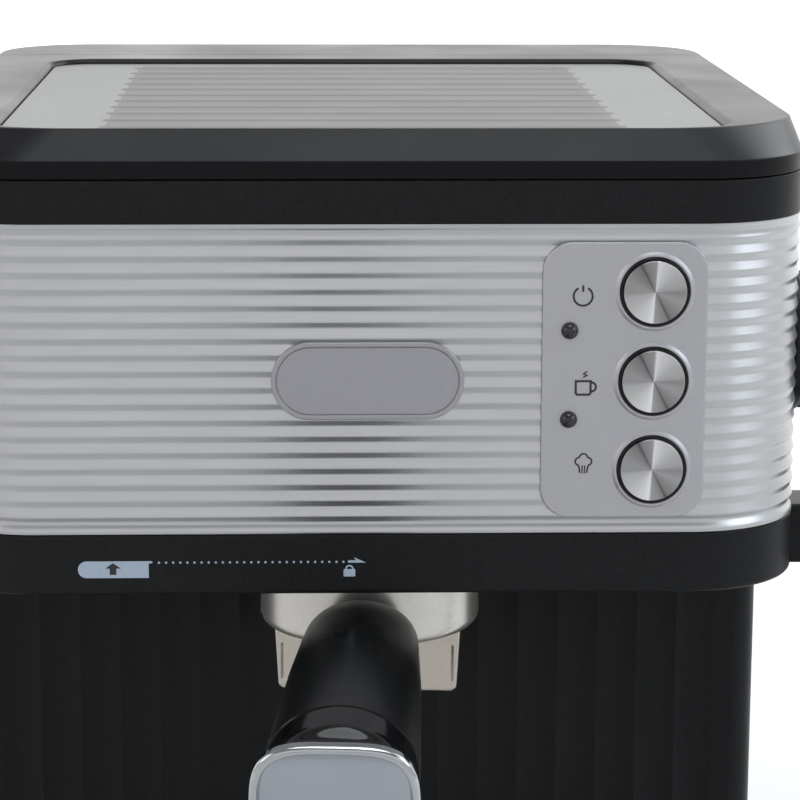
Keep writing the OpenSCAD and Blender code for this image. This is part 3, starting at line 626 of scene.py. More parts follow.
for k in range(RIB_BARS):
    y = field_start + RIB_D / 2 + k * RIB_STEP
    rib_parts.append(moved(sweep(box_plan(RIB_W, RIB_D, 7.0, 10), dome), shift((CUP_MID.x, y, 0))))
# The ribs take a darker copy of the plate's steel: painted shade.
make("cup_ribs", rib_parts, "housing", "warmer_steel", finish="rib_steel_painted_shade", crisp=40)

# ---------------------------------------------------------------- badge and button plate

badge_w, badge_h = BADGE_HI.x - BADGE_LO.x, BADGE_HI.z - BADGE_LO.z
BADGE_AT = facing_front((BADGE_LO.x + BADGE_HI.x) / 2, FRONT, (BADGE_LO.z + BADGE_HI.z) / 2)
pill = box_plan(badge_w, badge_h, badge_h / 2 - 0.01, 20)
make("badge_plate", [sweep(pill, fillet([
    (2, -0.9, 0), (0, -0.9, 0), (0, 0.98, 0.3), (1.25, 0.98, 0.18), (1.25, 0.3, 0.05), (1.5, 0.3, 0.05),
    (1.5, 0.62, 0.12), (3, 0.62, 0)], 3))],
    "housing", "badge_grey", ["badge"], at=BADGE_AT)

BUTTONS = {"power": span("power_button"), "coffee": span("coffee_button"), "steam": span("steam_button")}
BUTTON_X = (BUTTONS["power"][0].x + BUTTONS["power"][1].x) / 2
BUTTON_Z = {name: (lo.z + hi.z) / 2 for name, (lo, hi) in BUTTONS.items()}
BUTTON_FACE = PLATE_HI.y - BUTTONS["power"][0].y
RING_R, CAP_R = 9.45, 8.5
LIGHTS_LO, LIGHTS_HI = span("indicator_lights")
LIGHT_X = (LIGHTS_LO.x + LIGHTS_HI.x) / 2
LIGHT_R = (LIGHTS_HI.x - LIGHTS_LO.x) / 2
LIGHT_ZS = (LIGHTS_HI.z - LIGHT_R, LIGHTS_LO.z + LIGHT_R)


def on_plate(x, z):
    """Shift within the plate's frame to a place on the machine's front."""
    return shift((x - PLATE_MID.x, z - PLATE_MID.z, 0))


def at_buttons(part):
    """The part, once at each button."""
    return [moved(part, on_plate(BUTTON_X, z)) for z in BUTTON_Z.values()]


def at_lamps(part):
    """The part, once at each indicator lamp."""
    return [moved(part, on_plate(LIGHT_X, z)) for z in LIGHT_ZS]


LIP_TOP, LIP_R, RING_TOP = PLATE_FACE + 0.65, RING_R + 1.9, PLATE_FACE + 0.8
lip_profile = fillet([
    (RING_R + 0.02, PLATE_FACE - 0.6, 0), (RING_R + 0.02, LIP_TOP, 0.25), (RING_R + 0.6, LIP_TOP, 0.5),
    (RING_R + 1.4, PLATE_FACE - 0.04, 0.6), (LIP_R, PLATE_FACE - 0.1, 0)], 4)
lip = revolve(lip_profile + [(LIP_R, PLATE_FACE - 0.6)], 96, True)
plate_piece = make("control_plate", [slab(box_plan(plate_w, plate_h, 8, 16), 0, PLATE_FACE, 0.1, 0.45)],
                   "housing", "plate_silver", ["button_plate"], at=PLATE_AT)
holes = at_buttons(slab(circle_plan(RING_R, 96), -2, 9, SHARP))
holes += at_lamps(slab(circle_plan(LIGHT_R + 0.1), -2, 9, SHARP))
cut(plate_piece, holes, at=PLATE_AT)
make("button_lips", at_buttons(lip), "housing", "plate_silver", at=PLATE_AT)

ring_profile = fillet([
    (RING_R - 0.05, 0.2, 0), (RING_R - 0.05, RING_TOP, 0.35), (CAP_R + 0.07, RING_TOP, 0.25),
    (CAP_R + 0.07, 0.2, 0)], 4)
make("button_bezels", at_buttons(revolve(ring_profile, 96, True)),
     "housing", "gloss_black", ["button_rings"], at=PLATE_AT)

button_back = PLATE_HI.y - BUTTONS["power"][1].y
FLANGE_R, FLANGE_LO, FLANGE_HI = RING_R - 0.1, button_back + 2.2, button_back + 3.4
cap_profile = fillet([
    (0, button_back, 0), (2, button_back, 0.2), (2, FLANGE_LO, 0), (FLANGE_R, FLANGE_LO, 0.1),
    (FLANGE_R, FLANGE_HI, 0.1), (CAP_R, FLANGE_HI, 0), (CAP_R, BUTTON_FACE, 0.22),
    (CAP_R - 0.5, BUTTON_FACE - 0.02, 0), (0, BUTTON_FACE - 0.1, 0)], 3)
for name, z in BUTTON_Z.items():
    make(name + "_cap", [revolve(cap_profile, 96)], name + "_button", "turned_steel",
         [name + "_button"], at=facing_front(BUTTON_X, PLATE_HI.y, z), crisp=25)

dome_profile = [(LIGHT_R * math.cos(a), PLATE_FACE + 0.2 + LIGHT_R * math.sin(a))
                for a in (math.radians(9 * i) for i in range(11))]
lamp = [(LIGHT_R, PLATE_HI.y - LIGHTS_HI.y)] + dome_profile[:-1] + [(0, dome_profile[-1][1])]
make("light_domes", at_lamps(revolve([(0, lamp[0][1])] + lamp, 40)),
     "housing", "smoked_lens", ["indicator_lights"], at=PLATE_AT)

# ---------------------------------------------------------------- printed symbols

INK = 0.05


def ring_stroke(cx, cy, r, start, turn, width, steps=24):
    """Line along an arc, or a whole ring from 360 degrees up."""
    closed = turn >= 360
    points = arc(cx, cy, r, start, turn if not closed else 360 - 360 / steps, steps - (1 if closed else 0))
    return stroke(points, width, INK, closed)


def power_symbol():
    """Strokes of a broken ring with an upright bar."""
    return [ring_stroke(0, 0, 2.55, 120, 300, 0.58), stroke([(0, 1.2), (0, 3.0)], 0.58, INK)]


def cup_symbol():
    """Strokes of a cup with a handle, and steam above it."""
    cup = [(-2.5, 1.3), (-2.5, -2.0), (-2.1, -2.4), (1.1, -2.4), (1.5, -2.0), (1.5, 1.3)]
    steam = [(-0.6, 2.3), (0.5, 2.9), (-0.5, 3.3), (0.6, 4.0)]
    return [stroke(cup, 0.62, INK, True), ring_stroke(1.7, -0.3, 1.25, -90, 180, 0.58, 12),
            stroke(steam, 0.36, INK)]


def steam_symbol():
    """Strokes of a steam cloud with two stems."""
    half = arc(0, 1.75, 1.1, 90, 80, 6) + arc(-1.2, 0.7, 1.05, 105, 150, 8) + [(-1.15, -0.9), (-0.95, -2.5)]
    cloud = half[::-1] + [(-x, y) for x, y in half[1:]]
    stems = [stroke([(0.36 * s, -0.4), (0.3 * s, -2.6)], 0.36, INK) for s in (-1, 1)]
    return [stroke(cloud, 0.46, INK)] + stems


# Each symbol's strokes, its distance left of the buttons and its height.
SYMBOLS = (
    (power_symbol(), 19.3, BUTTON_Z["power"] - 1.2),
    (cup_symbol(), 18.4, BUTTON_Z["coffee"] - 1.3),
    (steam_symbol(), 18.5, BUTTON_Z["steam"] + 1.5),
)
symbols = []
for parts, left, z in SYMBOLS:
    symbols += [moved(p, on_plate(BUTTON_X - left, z) @ shift((0, 0, PLATE_FACE))) for p in parts]
make("button_symbols", symbols, "housing", "component_black", finish="print_dark", at=PLATE_AT, soft=False)

# Where the portafilter goes in and where it locks: an arrow tab, a dotted way and a padlock
MARK_Z = PANEL_LO.z - 8.1
tab = [(x, z) for x, z in rounded(-78, -58.8, -3.9, 0.8, (2.3, 0.1, 0.1, 2.3), 8)]
bezel_marks = [plate(tab, INK), plate([(-58.8, 0.8), (-58.8, 0.2), (-57.8, 0.2), (-57.8, 0.8)], INK)]
bezel_marks += [plate(arc(-56 + k * 1.93, 0.35, 0.32, 0, 330, 11), INK) for k in range(27)]
bezel_marks += [plate([(-4.6, 0.1), (0.3, 0.1), (-3.0, 1.6), (-2.4, 0.75), (-4.6, 0.75)], INK)]
bezel_marks += [plate(rounded(-5.8, -2.6, -3.8, -1.7, (0.3,) * 4, 3), INK),
                ring_stroke(-4.2, -1.7, 0.95, 0, 180, 0.42, 10)]
tab_arrow = [(-69.4, -3.0), (-67.6, -3.0), (-67.6, -1.2), (-66.4, -1.2), (-68.5, 0.3), (-70.6, -1.2),
             (-69.4, -1.2)]
make("bezel_print", bezel_marks, "housing", "component_black", finish="print_grey",
     at=facing_front(0, FRONT, MARK_Z), soft=False)
make("tab_arrow", [plate(tab_arrow, INK * 1.8)], "housing", "component_black", finish="print_dark",
     at=facing_front(0, FRONT, MARK_Z), soft=False)

# ---------------------------------------------------------------- column, base, feet

FLUTE, FLUTE_DEPTH, COLUMN_R = 12.1, 1.15, 8.0
flat_half = HALF_W - COLUMN_R
flute_count = int(2 * flat_half // FLUTE)


def column_plan(inset):
    """Front of the column: shallow hollows side by side between its small round corners."""
    y0, r = COVER_LO.y + inset, COLUMN_R - inset
    front = []
    edge = flute_count * FLUTE / 2
    for k in range(flute_count):
        for j in range(8):
            s = j / 8
            front.append((-edge + (k + s) * FLUTE, y0 + FLUTE_DEPTH * math.sin(math.pi * s) ** 0.8))
    front.append((edge, y0))
    return (
        [(inset - HALF_W, COVER_HI.y)] + arc(inset - HALF_W + r, y0 + r, r, 180, 90, 10) + front
        + arc(HALF_W - inset - r, y0 + r, r, 270, 90, 10) + [(HALF_W - inset, COVER_HI.y)]
    )


make("column_front", [sweep(column_plan, fillet([
    (0.6, COVER_LO.z, 0), (0, COVER_LO.z, 0.3), (0, COVER_HI.z, 0.3), (0.6, COVER_HI.z, 0)], 2))],
    "housing", "casing_black", ["front_cover"], crisp=24)

SKIRT_TOP, DECK_TOP = BASE_LO.z + 3, 12.0
make("base_skirt", [sweep(whole_plan, [
    (WALL, SKIRT_TOP), (WALL, BASE_LO.z), (0.5, BASE_LO.z), (0.15, BASE_LO.z + 0.15),
    (0, BASE_LO.z + 0.5), (0, SKIRT_TOP)], ring_of_rings=True)],
    "housing", "casing_black", ["base_housing"])
make("base_deck", [sweep(head_plan(COVER_LO.y), fillet([
    (2, SKIRT_TOP, 0), (0, SKIRT_TOP, 0), (0, DECK_TOP, 0.5), (3, DECK_TOP, 0)]))],
    "housing", "casing_black", ["base_housing"])
rear_base = make("base_rear", [sweep(rear_plan(COVER_LO.y, False, 1.5), fillet([
    (2, SKIRT_TOP, 0), (0, SKIRT_TOP, 0), (0, BASE_HI.z, 0.6), (3, BASE_HI.z, 0)]))],
    "housing", "casing_black", ["base_housing"])
SEAT_LO, SEAT_HI = span("valve_seat")
seat_mid = shift(((SEAT_LO.x + SEAT_HI.x) / 2, (SEAT_LO.y + SEAT_HI.y) / 2, 0))
cut(rear_base, [slab(circle_plan(SEAT_HOLE_R), BASE_HI.z - 12, BASE_HI.z + 3, SHARP)], at=seat_mid)
GLAND_LO, GLAND_HI = span("cord_gland")
gland_mid = shift(((GLAND_LO.x + GLAND_HI.x) / 2, BACK, (GLAND_LO.z + GLAND_HI.z) / 2)) @ TO_FRONT
cut(rear_base, [slab(circle_plan(GLAND_HOLE_R), -4, 16, SHARP)], at=gland_mid)

FEET_HI = span("feet")[1]
FOOT_R = 12.0
foot = revolve(fillet([
    (0, 0, 0), (9, 0, 0.3), (9.3, 0.5, 0.2), (11, 0.5, 0.5), (FOOT_R, FEET_HI.z, 0), (0, FEET_HI.z, 0)],
    3), 48)
make("rubber_feet", [moved(foot, shift((sx * (FEET_HI.x - FOOT_R), sy * (FEET_HI.y - FOOT_R), 0)))
                     for sx in (-1, 1) for sy in (-1, 1)], "housing", "rubber", ["feet"])

# ---------------------------------------------------------------- drip tray and water tank

TRAY_PLAN = head_plan(TRAY_HI.y, False)
TRAY_FLOOR = TRAY_LO.z + 2.6
GRID_LO = span("drip_grid")[0]
FLOAT_LO, FLOAT_HI = span("tray_float")
FLOAT = Vector(((FLOAT_LO.x + FLOAT_HI.x) / 2, (FLOAT_LO.y + FLOAT_HI.y) / 2, 0))
tray_parts = [sweep(TRAY_PLAN, fillet([
    (4, TRAY_LO.z, 0), (0, TRAY_LO.z, 1.2), (0, TRAY_HI.z, 0.7), (2.2, TRAY_HI.z, 0.6),
    (2.2, TRAY_FLOOR, 1.6), (8, TRAY_FLOOR, 0)]))]
POST_X, POST_YS, POST_TOP = 84, (FRONT + 16, TRAY_HI.y - 12), GRID_LO.z - 0.2
PIN_TOP = TRAY_FLOOR + 15.5
post = revolve(fillet([
    (0, TRAY_FLOOR - 0.5, 0), (4, TRAY_FLOOR - 0.5, 0), (4, POST_TOP, 0.5), (0, POST_TOP, 0)], 3), 32)
pin = revolve(fillet([
    (0, TRAY_FLOOR - 0.5, 0), (1.5, TRAY_FLOOR - 0.5, 0), (1.5, PIN_TOP, 0.4), (0, PIN_TOP, 0)], 2), 24)
tray_parts += [moved(post, shift((sx * POST_X, y, 0))) for sx in (-1, 1) for y in POST_YS]
tray_parts.append(moved(pin, shift(FLOAT)))
make("tray_bowl", tray_parts, "drip_tray", "satin_black", ["drip_tray"])

tank_plan = rear_plan(TANK_LO.y, False, 2.0)
tank = make("tank_shell", [sweep(tank_plan, fillet([
    (5, TANK_LO.z, 0), (0, TANK_LO.z, 1.6), (0, TANK_HI.z, 0.6), (WALL, TANK_HI.z, 0.6),
    (WALL, TANK_LO.z + WALL, 1.5), (7, TANK_LO.z + WALL, 0)]))],
    "water_tank", "tank_smoke", ["water_tank"])
cut(tank, [slab(circle_plan(VALVE_HOLE_R), TANK_LO.z - 2, TANK_LO.z + 5, SHARP)], at=seat_mid)
LEVELS = ((75, 7), (105, 4), (135, 4), (165, 4), (195, 4), (225, 4), (255, 7))   # height, half-width
MARK_X = 60
ticks = [plate([(-w, z - 0.5), (w, z - 0.5), (w, z + 0.5), (-w, z + 0.5)], 0.06) for z, w in LEVELS]
make("level_marks", ticks, "water_tank", "component_black", finish="print_grey",
     at=shift((MARK_X, BACK - 0.02, 0)) @ Matrix.Rotation(math.pi, 4, "Z") @ TO_FRONT, soft=False)

# ---------------------------------------------------------------- portafilter

COLLAR_R = 31.7
COLLAR_Z, COLLAR_TOP = 156.7, COLLAR_HI.z
cup = revolve(fillet([
    (0, COLLAR_Z, 0), (COLLAR_R, COLLAR_Z, 3.4),
    (COLLAR_R, COLLAR_TOP, 0.4), (COLLAR_R - 2, COLLAR_TOP, 0.3), (COLLAR_R - 2, COLLAR_Z + 3, 0.6),
    (0, COLLAR_Z + 3, 0)], 6), 128)


def ear(middle):
    """Bayonet ear: a short arc of a flat ring."""
    z0, z1, r0, r1 = 183.9, 187.0, COLLAR_R - 0.5, COLLAR_R + 5.1
    rings = []
    for i in range(13):
        a = math.radians(middle - 25 + 50 * i / 12)
        c, s = math.cos(a), math.sin(a)
        section = fillet([(r0, z0, 0), (r1, z0, 0.5), (r1, z1, 0.5), (r0, z1, 0)], 3)
        rings.append([(r * c, r * s, z) for r, z in section])
    return loft(rings)


make("brew_collar", [moved(p, shift(GROUP)) for p in (cup, ear(0), ear(180))]
     + [moved(slab(circle_plan(8, 40), 30.2, 40, 0.4), ALONG_HANDLE)],
     "portafilter", "chrome", ["portafilter_collar"], finish="collar_steel")

SPOUT_W, SPOUT_DEPTH, SPOUT_Z = 53.6, 23.0, 138.2
spout_h = COLLAR_Z - SPOUT_Z


def spout_face(inset):
    """Front view of the spout block: a little narrower below, its lower corners round."""
    low, high = SPOUT_W / 2 - 0.9 - inset, SPOUT_W / 2 - inset
    r = max(2.2 - inset, 0.3)
    return [(x, y) for x, y in
            arc(-low + r, inset + r, r, 180, 90, 8) + arc(low - r, inset + r, r, 270, 90, 8)
            + [(high, spout_h - inset), (-high, spout_h - inset)]]


SPOUT_AT = shift((GROUP.x, GROUP.y, SPOUT_Z)) @ Matrix.Rotation(HANDLE_TURN, 4, "Z") @ TO_FRONT
spout = make("spout_body", [sweep(spout_face, [(z if z > 0 else 0, y) for z, y in fillet([
    (3, -SPOUT_DEPTH / 2, 0), (0, -SPOUT_DEPTH / 2, 1.0), (0, SPOUT_DEPTH / 2, 1.0),
    (3, SPOUT_DEPTH / 2, 0)])])],
    "portafilter", "spout_metal", ["spout_block"], at=SPOUT_AT)
bore = slab(circle_plan(SPOUT_HOLE_R), -4, 12, SHARP)
bores = [moved(bore, shift((x, 0, 0)) @ Matrix.Rotation(-math.pi / 2, 4, "X")) for x in (-13, 13)]
groove = slab(box_plan(0.8, spout_h - 7.5, 0.35, 4), SPOUT_DEPTH / 2 - 0.35, SPOUT_DEPTH / 2 + 2, SHARP)
grooves = [moved(groove, shift((sx * (SPOUT_W / 2 - 2.2), spout_h / 2 - 0.4, 0))) for sx in (-1, 1)]
cut(spout, bores + grooves, at=SPOUT_AT)

GRIP = [(34.5, 15.5, 11.5), (46.0, 16.4, 13.8), (70.0, 18.0, 16.0), (122.0, 20.0, 18.5)]


def grip_size(reach):
    """Half-width and half-height of the grip, eased between its stations."""
    for (r0, w0, h0), (r1, w1, h1) in zip(GRIP, GRIP[1:]):
        if reach <= r1:
            t = (reach - r0) / (r1 - r0)
            return w0 + (w1 - w0) * t, h0 + (h1 - h0) * t
    return GRIP[-1][1:]


def oval(w, h, z, steps=64, power=2.0):
    """Ring of a rounded oval; a higher power makes it squarer."""
    out = []
    for j in range(steps):
        a = 2 * math.pi * j / steps
        c, s = math.cos(a), math.sin(a)
        out.append((w * math.copysign(abs(c) ** (2 / power), c),
                    h * math.copysign(abs(s) ** (2 / power), s), z))
    return out


grip_rings = []
start, end = GRIP[0][0], GRIP[-1][0]
for reach, share in ((start, 0.72), (start + 0.3, 0.82), (start + 1.2, 0.92), (start + 2.8, 0.98),
                     (start + 5.5, 1.0)):
    w, h = grip_size(reach)
    grip_rings.append(oval(w * share, h * share, reach))
for i in range(1, 19):
    reach = start + 5.5 + (end - start - 5.5) * i / 18
    grip_rings.append(oval(*grip_size(reach), reach))
make("grip_body", [loft(grip_rings)], "portafilter", "grip_black", ["handle_grip"],
     at=ALONG_HANDLE, crisp=50)

REACH, FACE_W, FACE_H = 147.4, 21.0, 18.6
NECK_W, NECK_H, COVE = 19.7, 18.2, 1.9
neck = [oval(20, 18.5, end + 0.05), oval(NECK_W, NECK_H, end + 0.3)]
for i in range(25):
    t = i / 24
    flare = max(0.0, (t - 0.45) / 0.55)
    flare = flare * flare * (3 - 2 * flare)
    cove = COVE * math.sin(math.pi * max(0.0, (t - 0.5) / 0.5)) ** 2
    neck.append(oval(NECK_W + 0.9 * flare, NECK_H - cove - 0.2 * flare,
                     end + 0.6 + (REACH - 4.6 - end) * t, power=2 + 1.6 * flare))
make("handle_neck", [loft(neck)], "portafilter", "gloss_black", ["handle_cap"], at=ALONG_HANDLE, crisp=50)
rim = [oval(FACE_W - i, FACE_H - i, z, power=3.6 - 0.05 * i) for i, z in fillet([
    (1.2, REACH - 4.4, 0), (0, REACH - 4.2, 0.9), (0, REACH - 0.1, 1.3), (1.9, REACH - 0.1, 0.5),
    (2.1, REACH - 1.5, 0.3), (3.6, REACH - 1.6, 0)], 6)]
# The rim takes a darker copy of the chrome: painted shade.
make("handle_rim", [loft(rim)], "portafilter", "chrome", finish="rim_chrome_painted_shade", at=ALONG_HANDLE, crisp=50)
face = [oval(FACE_W - 2.2 - i, FACE_H - 2.2 - i, REACH - 1.5 + 0.8 * (1 - math.exp(-i / 2.6)),
             power=3.5 - 0.06 * i)
        for i in (0, 0.3, 0.7, 1.2, 1.8, 2.5, 3.3, 4.3, 5.5, 7, 9, 11.5, 14, 16)]
# The face takes a darker, bluer copy of the chrome: painted shade and a painted blue reflection.
make("handle_face", [loft(face)], "portafilter", "chrome", finish="face_chrome_painted_reflection", at=ALONG_HANDLE, crisp=50)

# ---------------------------------------------------------------- steam knob and wand

KNOB_R, KNOB_LEN, KNOB_FLUTES = 20.0, KNOB_HI.x - KNOB_LO.x, 16
KNOB_FACE_R, KNOB_RING_R = 13.75, 22.0
knob_at = facing_right(KNOB_LO.x, KNOB_Y, KNOB_Z)


def knob_plan(inset):
    """Sixteen shallow hollows round the knob."""
    points = []
    for j in range(192):
        a = 2 * math.pi * j / 192
        dip = max(0.0, math.cos(KNOB_FLUTES * a)) ** 1.5
        points.append(((KNOB_R - inset - dip) * math.cos(a), (KNOB_R - inset - dip) * math.sin(a)))
    return points


make("knob_body", [
    sweep(knob_plan, fillet([
        (1.5, 2.6, 0), (0, 2.6, 0), (0, KNOB_LEN, 1.6), (5.9, KNOB_LEN, 0.5),
        (6.1, KNOB_LEN - 1.3, 0)], 5)),
    revolve(fillet([(0, 0, 0), (KNOB_R + 0.5, 0, 0.5), (KNOB_R + 0.5, 3, 0.6), (0, 3, 0)], 4), 96)],
    "steam_control", "knob_black", ["steam_knob"], at=knob_at, crisp=40)
make("knob_face", [revolve(fillet([
    (0, KNOB_LEN - 1.6, 0), (KNOB_FACE_R, KNOB_LEN - 1.6, 0), (KNOB_FACE_R, KNOB_LEN + 0.4, 0.35),
    (0, KNOB_LEN + 0.3, 0)], 4), 96)],
    "steam_control", "turned_steel", ["knob_cap"], at=knob_at)
pointer_at = knob_at @ shift((0, 0, KNOB_LEN)) @ Matrix.Rotation(math.pi / 2, 4, "Z")
make("knob_pointer", [plate(rounded(-0.7, 0.7, 15.2, 18.4, (0.6,) * 4, 4), 0.08)],
     "steam_control", "component_black", finish="print_grey", at=pointer_at, soft=False)
knob_ring = fillet([(7, 0, 0), (KNOB_RING_R, 0, 0.1), (KNOB_RING_R, 1.4, 0.6), (7, 1.4, 0)], 4)
make("knob_collar", [revolve(knob_ring, 96, True)], "housing", "chrome", ["knob_ring"],
     at=facing_right(HALF_W, KNOB_Y, KNOB_Z))
for k, length in enumerate((4.0, 3.0, 2.2)):
    angle = math.radians(110 + 28 * k)
    make(f"flow_mark_{k + 1}", [plate(rounded(26, 26 + length, -0.5, 0.5, (0.45,) * 4, 3), 0.12)],
         "housing", "component_black", finish="print_dark",
         at=facing_right(HALF_W + 0.02, KNOB_Y, KNOB_Z) @ Matrix.Rotation(angle, 4, "Z"), soft=False)

WAND_HI = span("steam_wand")[1]
SOCKET_HALF = 9.5
PIVOT = Vector((SOCKET_HI.x - SOCKET_HALF, (SOCKET_LO.y + SOCKET_HI.y) / 2, 0))
SLEEVE_R, SLEEVE_GROOVE_R, SLEEVE_GROOVES, SLEEVE_LEAN = 6.4, 5.9, 5, 28
SLEEVE_TIP = Vector((0, -SLEEVE_LEAN, 80))
WAND_BEND = Vector((0, 0, 156))


def socket_plan(inset):
    """Plan of the wand mount: round outside, flat where it meets the body."""
    r = SOCKET_HALF - inset
    return arc(0, 0, r, -90, 180, 20) + [(HALF_W + 0.01 - PIVOT.x, r), (HALF_W + 0.01 - PIVOT.x, -r)]


socket = make("wand_mount", [sweep(socket_plan, fillet([
    (2, SOCKET_LO.z, 0), (0, SOCKET_LO.z, 0.9), (0, SOCKET_HI.z, 1.2), (3, SOCKET_HI.z, 0)]))],
    "housing", "casing_black", ["wand_socket"], at=shift(PIVOT))
cut(socket, [slab(circle_plan(WAND_HOLE_R), SOCKET_LO.z - 2, SOCKET_LO.z + 13, SHARP)], at=shift(PIVOT))
nut = revolve(fillet([
    (0, SOCKET_LO.z - 10, 0), (6.5, SOCKET_LO.z - 10, 0.6), (8, SOCKET_LO.z - 8, 0.8),
    (8, SOCKET_LO.z - 1, 0.5), (5, SOCKET_LO.z - 1, 0), (5, WAND_HI.z, 0.3), (0, WAND_HI.z, 0)], 4), 64)
wand_path = bend([(0, 0, SOCKET_LO.z - 6), WAND_BEND, SLEEVE_TIP], 9)
make("wand_tube", [nut, pipe(wand_path, 4, 32)], "steam_wand", "stainless", ["steam_wand"],
     at=shift(PIVOT), crisp=40)
lean = math.atan2(SLEEVE_LEAN, WAND_BEND.z - SLEEVE_TIP.z)
sleeve_at = shift(PIVOT + SLEEVE_TIP) @ Matrix.Rotation(-lean, 4, "X")
sleeve = [(2, -7.9, 0), (5.6, -7.9, 0.8), (SLEEVE_R, -4, 1.5)]
for k in range(SLEEVE_GROOVES):
    z = 22 + k * 3
    sleeve += [(SLEEVE_R, z, 0.2), (SLEEVE_GROOVE_R, z + 0.4, 0.2), (SLEEVE_GROOVE_R, z + 1.2, 0.2),
               (SLEEVE_R, z + 1.6, 0.2)]
sleeve += [(SLEEVE_R, 37.5, 0.6), (5.3, 41.8, 0.5), (4.1, 41.8, 0), (4.1, 4, 0), (2, 3, 0)]
make("froth_tube", [revolve(fillet(sleeve, 3), 56, True)], "steam_wand", "knob_black", ["froth_sleeve"],
     at=sleeve_at, crisp=40)

# ---------------------------------------------------------------- CAD nodes that stay, with new materials

# Each look, and the CAD nodes that it goes on.
CARRIED = {
    "casing_black": "bottom_cover cord_gland column_shell back_panel",
    "bolt_steel": "case_screws handle_bolt tank_valve",
    "component_black": "valve_seat thermostats pump_mounts",
    "circuit_board": "switch_board control_board",
    "sheet_steel": "chassis_plate pump drip_grid",
    "cast_metal": "group_ring boiler",
    "silicone": "group_gasket",
    "stainless": "shower_screen shower_screw filter_basket",
    "copper": "heating_element steam_pipes",
    "clear_hose": "inlet_hose pressure_hose",
    "brass": "steam_valve knob_spindle",
    "spring_steel": "power_spring coffee_spring steam_spring",
    "float_red": "tray_float",
}
for finish, nodes in CARRIED.items():
    for node in nodes.split():
        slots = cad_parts[node].data.materials
        slots.clear()
        slots.append(LOOKS[finish])
for node in ("drip_grid", "column_shell", "cord_gland", "tray_float", "tank_valve", "case_screws",
             "bottom_cover"):
    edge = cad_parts[node].modifiers.new("edge", "BEVEL")
    edge.width, edge.segments, edge.limit_method, edge.angle_limit = 0.0003, 2, "ANGLE", math.radians(40)

# ---------------------------------------------------------------- stage, light and camera


def stage_panel(name, points, colour):
    """A flat panel of the stage, in metres."""
    mesh = bpy.data.meshes.new(name)
    mesh.from_pydata([Vector(p) for p in points], [], [tuple(range(len(points)))])
    obj = bpy.data.objects.new(name, mesh)
    bpy.context.scene.collection.objects.link(obj)
    obj.data.materials.append(look(name + " paint", colour, 0.7, grain=40, vary=0.01, bump=0.0))
    return obj


FLOOR_HALF = 6.5
stage_panel("floor", [(x * FLOOR_HALF, y * FLOOR_HALF, 0) for x, y in ((-1, -1), (1, -1), (1, 1), (-1, 1))],
            (0.5, 0.5, 0.5))


def soft_light(name, place, target, size, power, colour):
    """A rectangular light that the camera does not see, turned to its target."""
    data = bpy.data.lights.new(name, "AREA")
    data.shape, data.size, data.size_y = "RECTANGLE", *size
    data.energy, data.color = power, colour
    obj = bpy.data.objects.new(name, data)
    bpy.context.scene.collection.objects.link(obj)
    obj.location = place
    obj.rotation_mode = "QUATERNION"
    obj.rotation_quaternion = (Vector(target) - Vector(place)).to_track_quat("-Z", "Y")
    obj.visible_camera = False
    return obj


soft_light("overhead", (0.1, -0.1, 1.7), (0, 0, 0.2), (1.1, 0.9), 11.5, (0.95, 0.98, 1))
soft_light("right_window", (1.35, -0.65, 1.05), (0, 0, 0.25), (1.0, 0.8), 7.5, (0.84, 0.92, 1))
soft_light("left_panel", (-1.45, -0.6, 1.0), (0, 0, 0.25), (0.9, 0.8), 3.8, (1, 0.98, 0.95))
soft_light("front_fill", (0, -2.2, 1.25), (0, 0, 0.25), (3.2, 1.0), 4.2, (1, 1, 0.98))
soft_light("rear_right", (1.3, 1.0, 1.5), (0, 0, 0.3), (0.9, 0.9), 15, (0.9, 0.95, 1))
backdrop = soft_light("backdrop", (0, 3.7, 2.6), (0, 3.8, 0), (6.4, 4), 420, (1, 1, 1))
backdrop.visible_glossy = False
# Each is turned away from the machine and lights only the far floor that other views see.
for name, place, target, size, power in (
        ("far_front", (0, -3.0, 2.6), (0, -5.8, 0), (8.0, 2.2), 90),
        ("far_left", (-3.6, 0.0, 3.0), (-6.4, 0.0, 0), (2.6, 8.0), 34),
        ("far_right", (3.6, 0.0, 3.0), (6.4, 0.0, 0), (2.6, 8.0), 34)):
    soft_light(name, place, target, size, power, (1, 1, 1)).visible_glossy = False

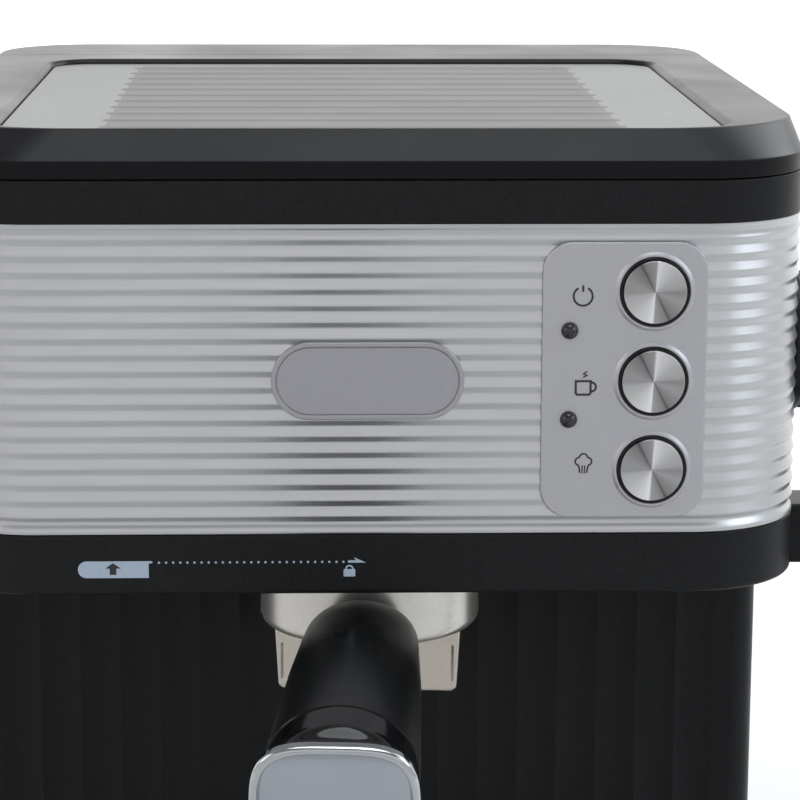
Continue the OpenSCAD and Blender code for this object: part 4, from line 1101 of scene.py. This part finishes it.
# Surroundings: brightest behind the machine, near the horizon.
SKY_STRENGTH = 1.95
world = bpy.data.worlds.new("studio")
bpy.context.scene.world = world
world.use_nodes = True
tree = world.node_tree
sky = tree.nodes["Background"]
direction = tree.nodes.new("ShaderNodeTexCoord")
split = tree.nodes.new("ShaderNodeSeparateXYZ")
tree.links.new(direction.outputs["Generated"], split.inputs["Vector"])
around = ramp(tree, spread(tree, split.outputs["Y"], 0.0, 1.0, (-1, 1)), [
    (0.0, (0.38, 0.38, 0.385)), (0.35, (0.36, 0.36, 0.365)), (0.7, (0.48, 0.48, 0.48)),
    (0.9, (0.85, 0.85, 0.84)), (1.0, (1, 1, 0.985))])
height = ramp(tree, split.outputs["Z"], [
    (0.0, (1, 1, 1)), (0.25, (0.98, 0.98, 0.98)), (0.42, (0.6, 0.6, 0.6)), (0.6, (0.45, 0.45, 0.46)),
    (1.0, (0.4, 0.4, 0.41))])
both = tree.nodes.new("ShaderNodeMix")
both.data_type, both.blend_type = "RGBA", "MULTIPLY"
both.inputs["Factor"].default_value = 1
tree.links.new(around, both.inputs["A"])
tree.links.new(height, both.inputs["B"])
tree.links.new(both.outputs["Result"], sky.inputs["Color"])
sky.inputs["Strength"].default_value = SKY_STRENGTH

# The camera, as fitted to the photo's straight edges; angles in radians, places in metres.
YAW, PITCH, ROLL = 0.0332, 0.2077, -0.0034
CAMERA_AT, LENS_MM, SENSOR_MM = (-0.0158, -0.8975, 0.3925), 129.76, 36
forward = Vector((math.sin(YAW) * math.cos(PITCH), math.cos(YAW) * math.cos(PITCH), -math.sin(PITCH)))
level = Vector((math.cos(YAW), -math.sin(YAW), 0))
down = forward.cross(level)
right = level * math.cos(ROLL) + down * math.sin(ROLL)
down = down * math.cos(ROLL) - level * math.sin(ROLL)
camera_data = bpy.data.cameras.new("camera")
camera_data.lens, camera_data.sensor_width = LENS_MM, SENSOR_MM
camera_data.clip_start, camera_data.clip_end = 0.05, 40
camera = bpy.data.objects.new("camera", camera_data)
bpy.context.scene.collection.objects.link(camera)
camera.matrix_world = (
    shift(CAMERA_AT) @ Matrix((right, -down, -forward)).transposed().to_4x4()
)
bpy.context.scene.camera = camera
bpy.context.scene.view_settings.view_transform = "Standard"
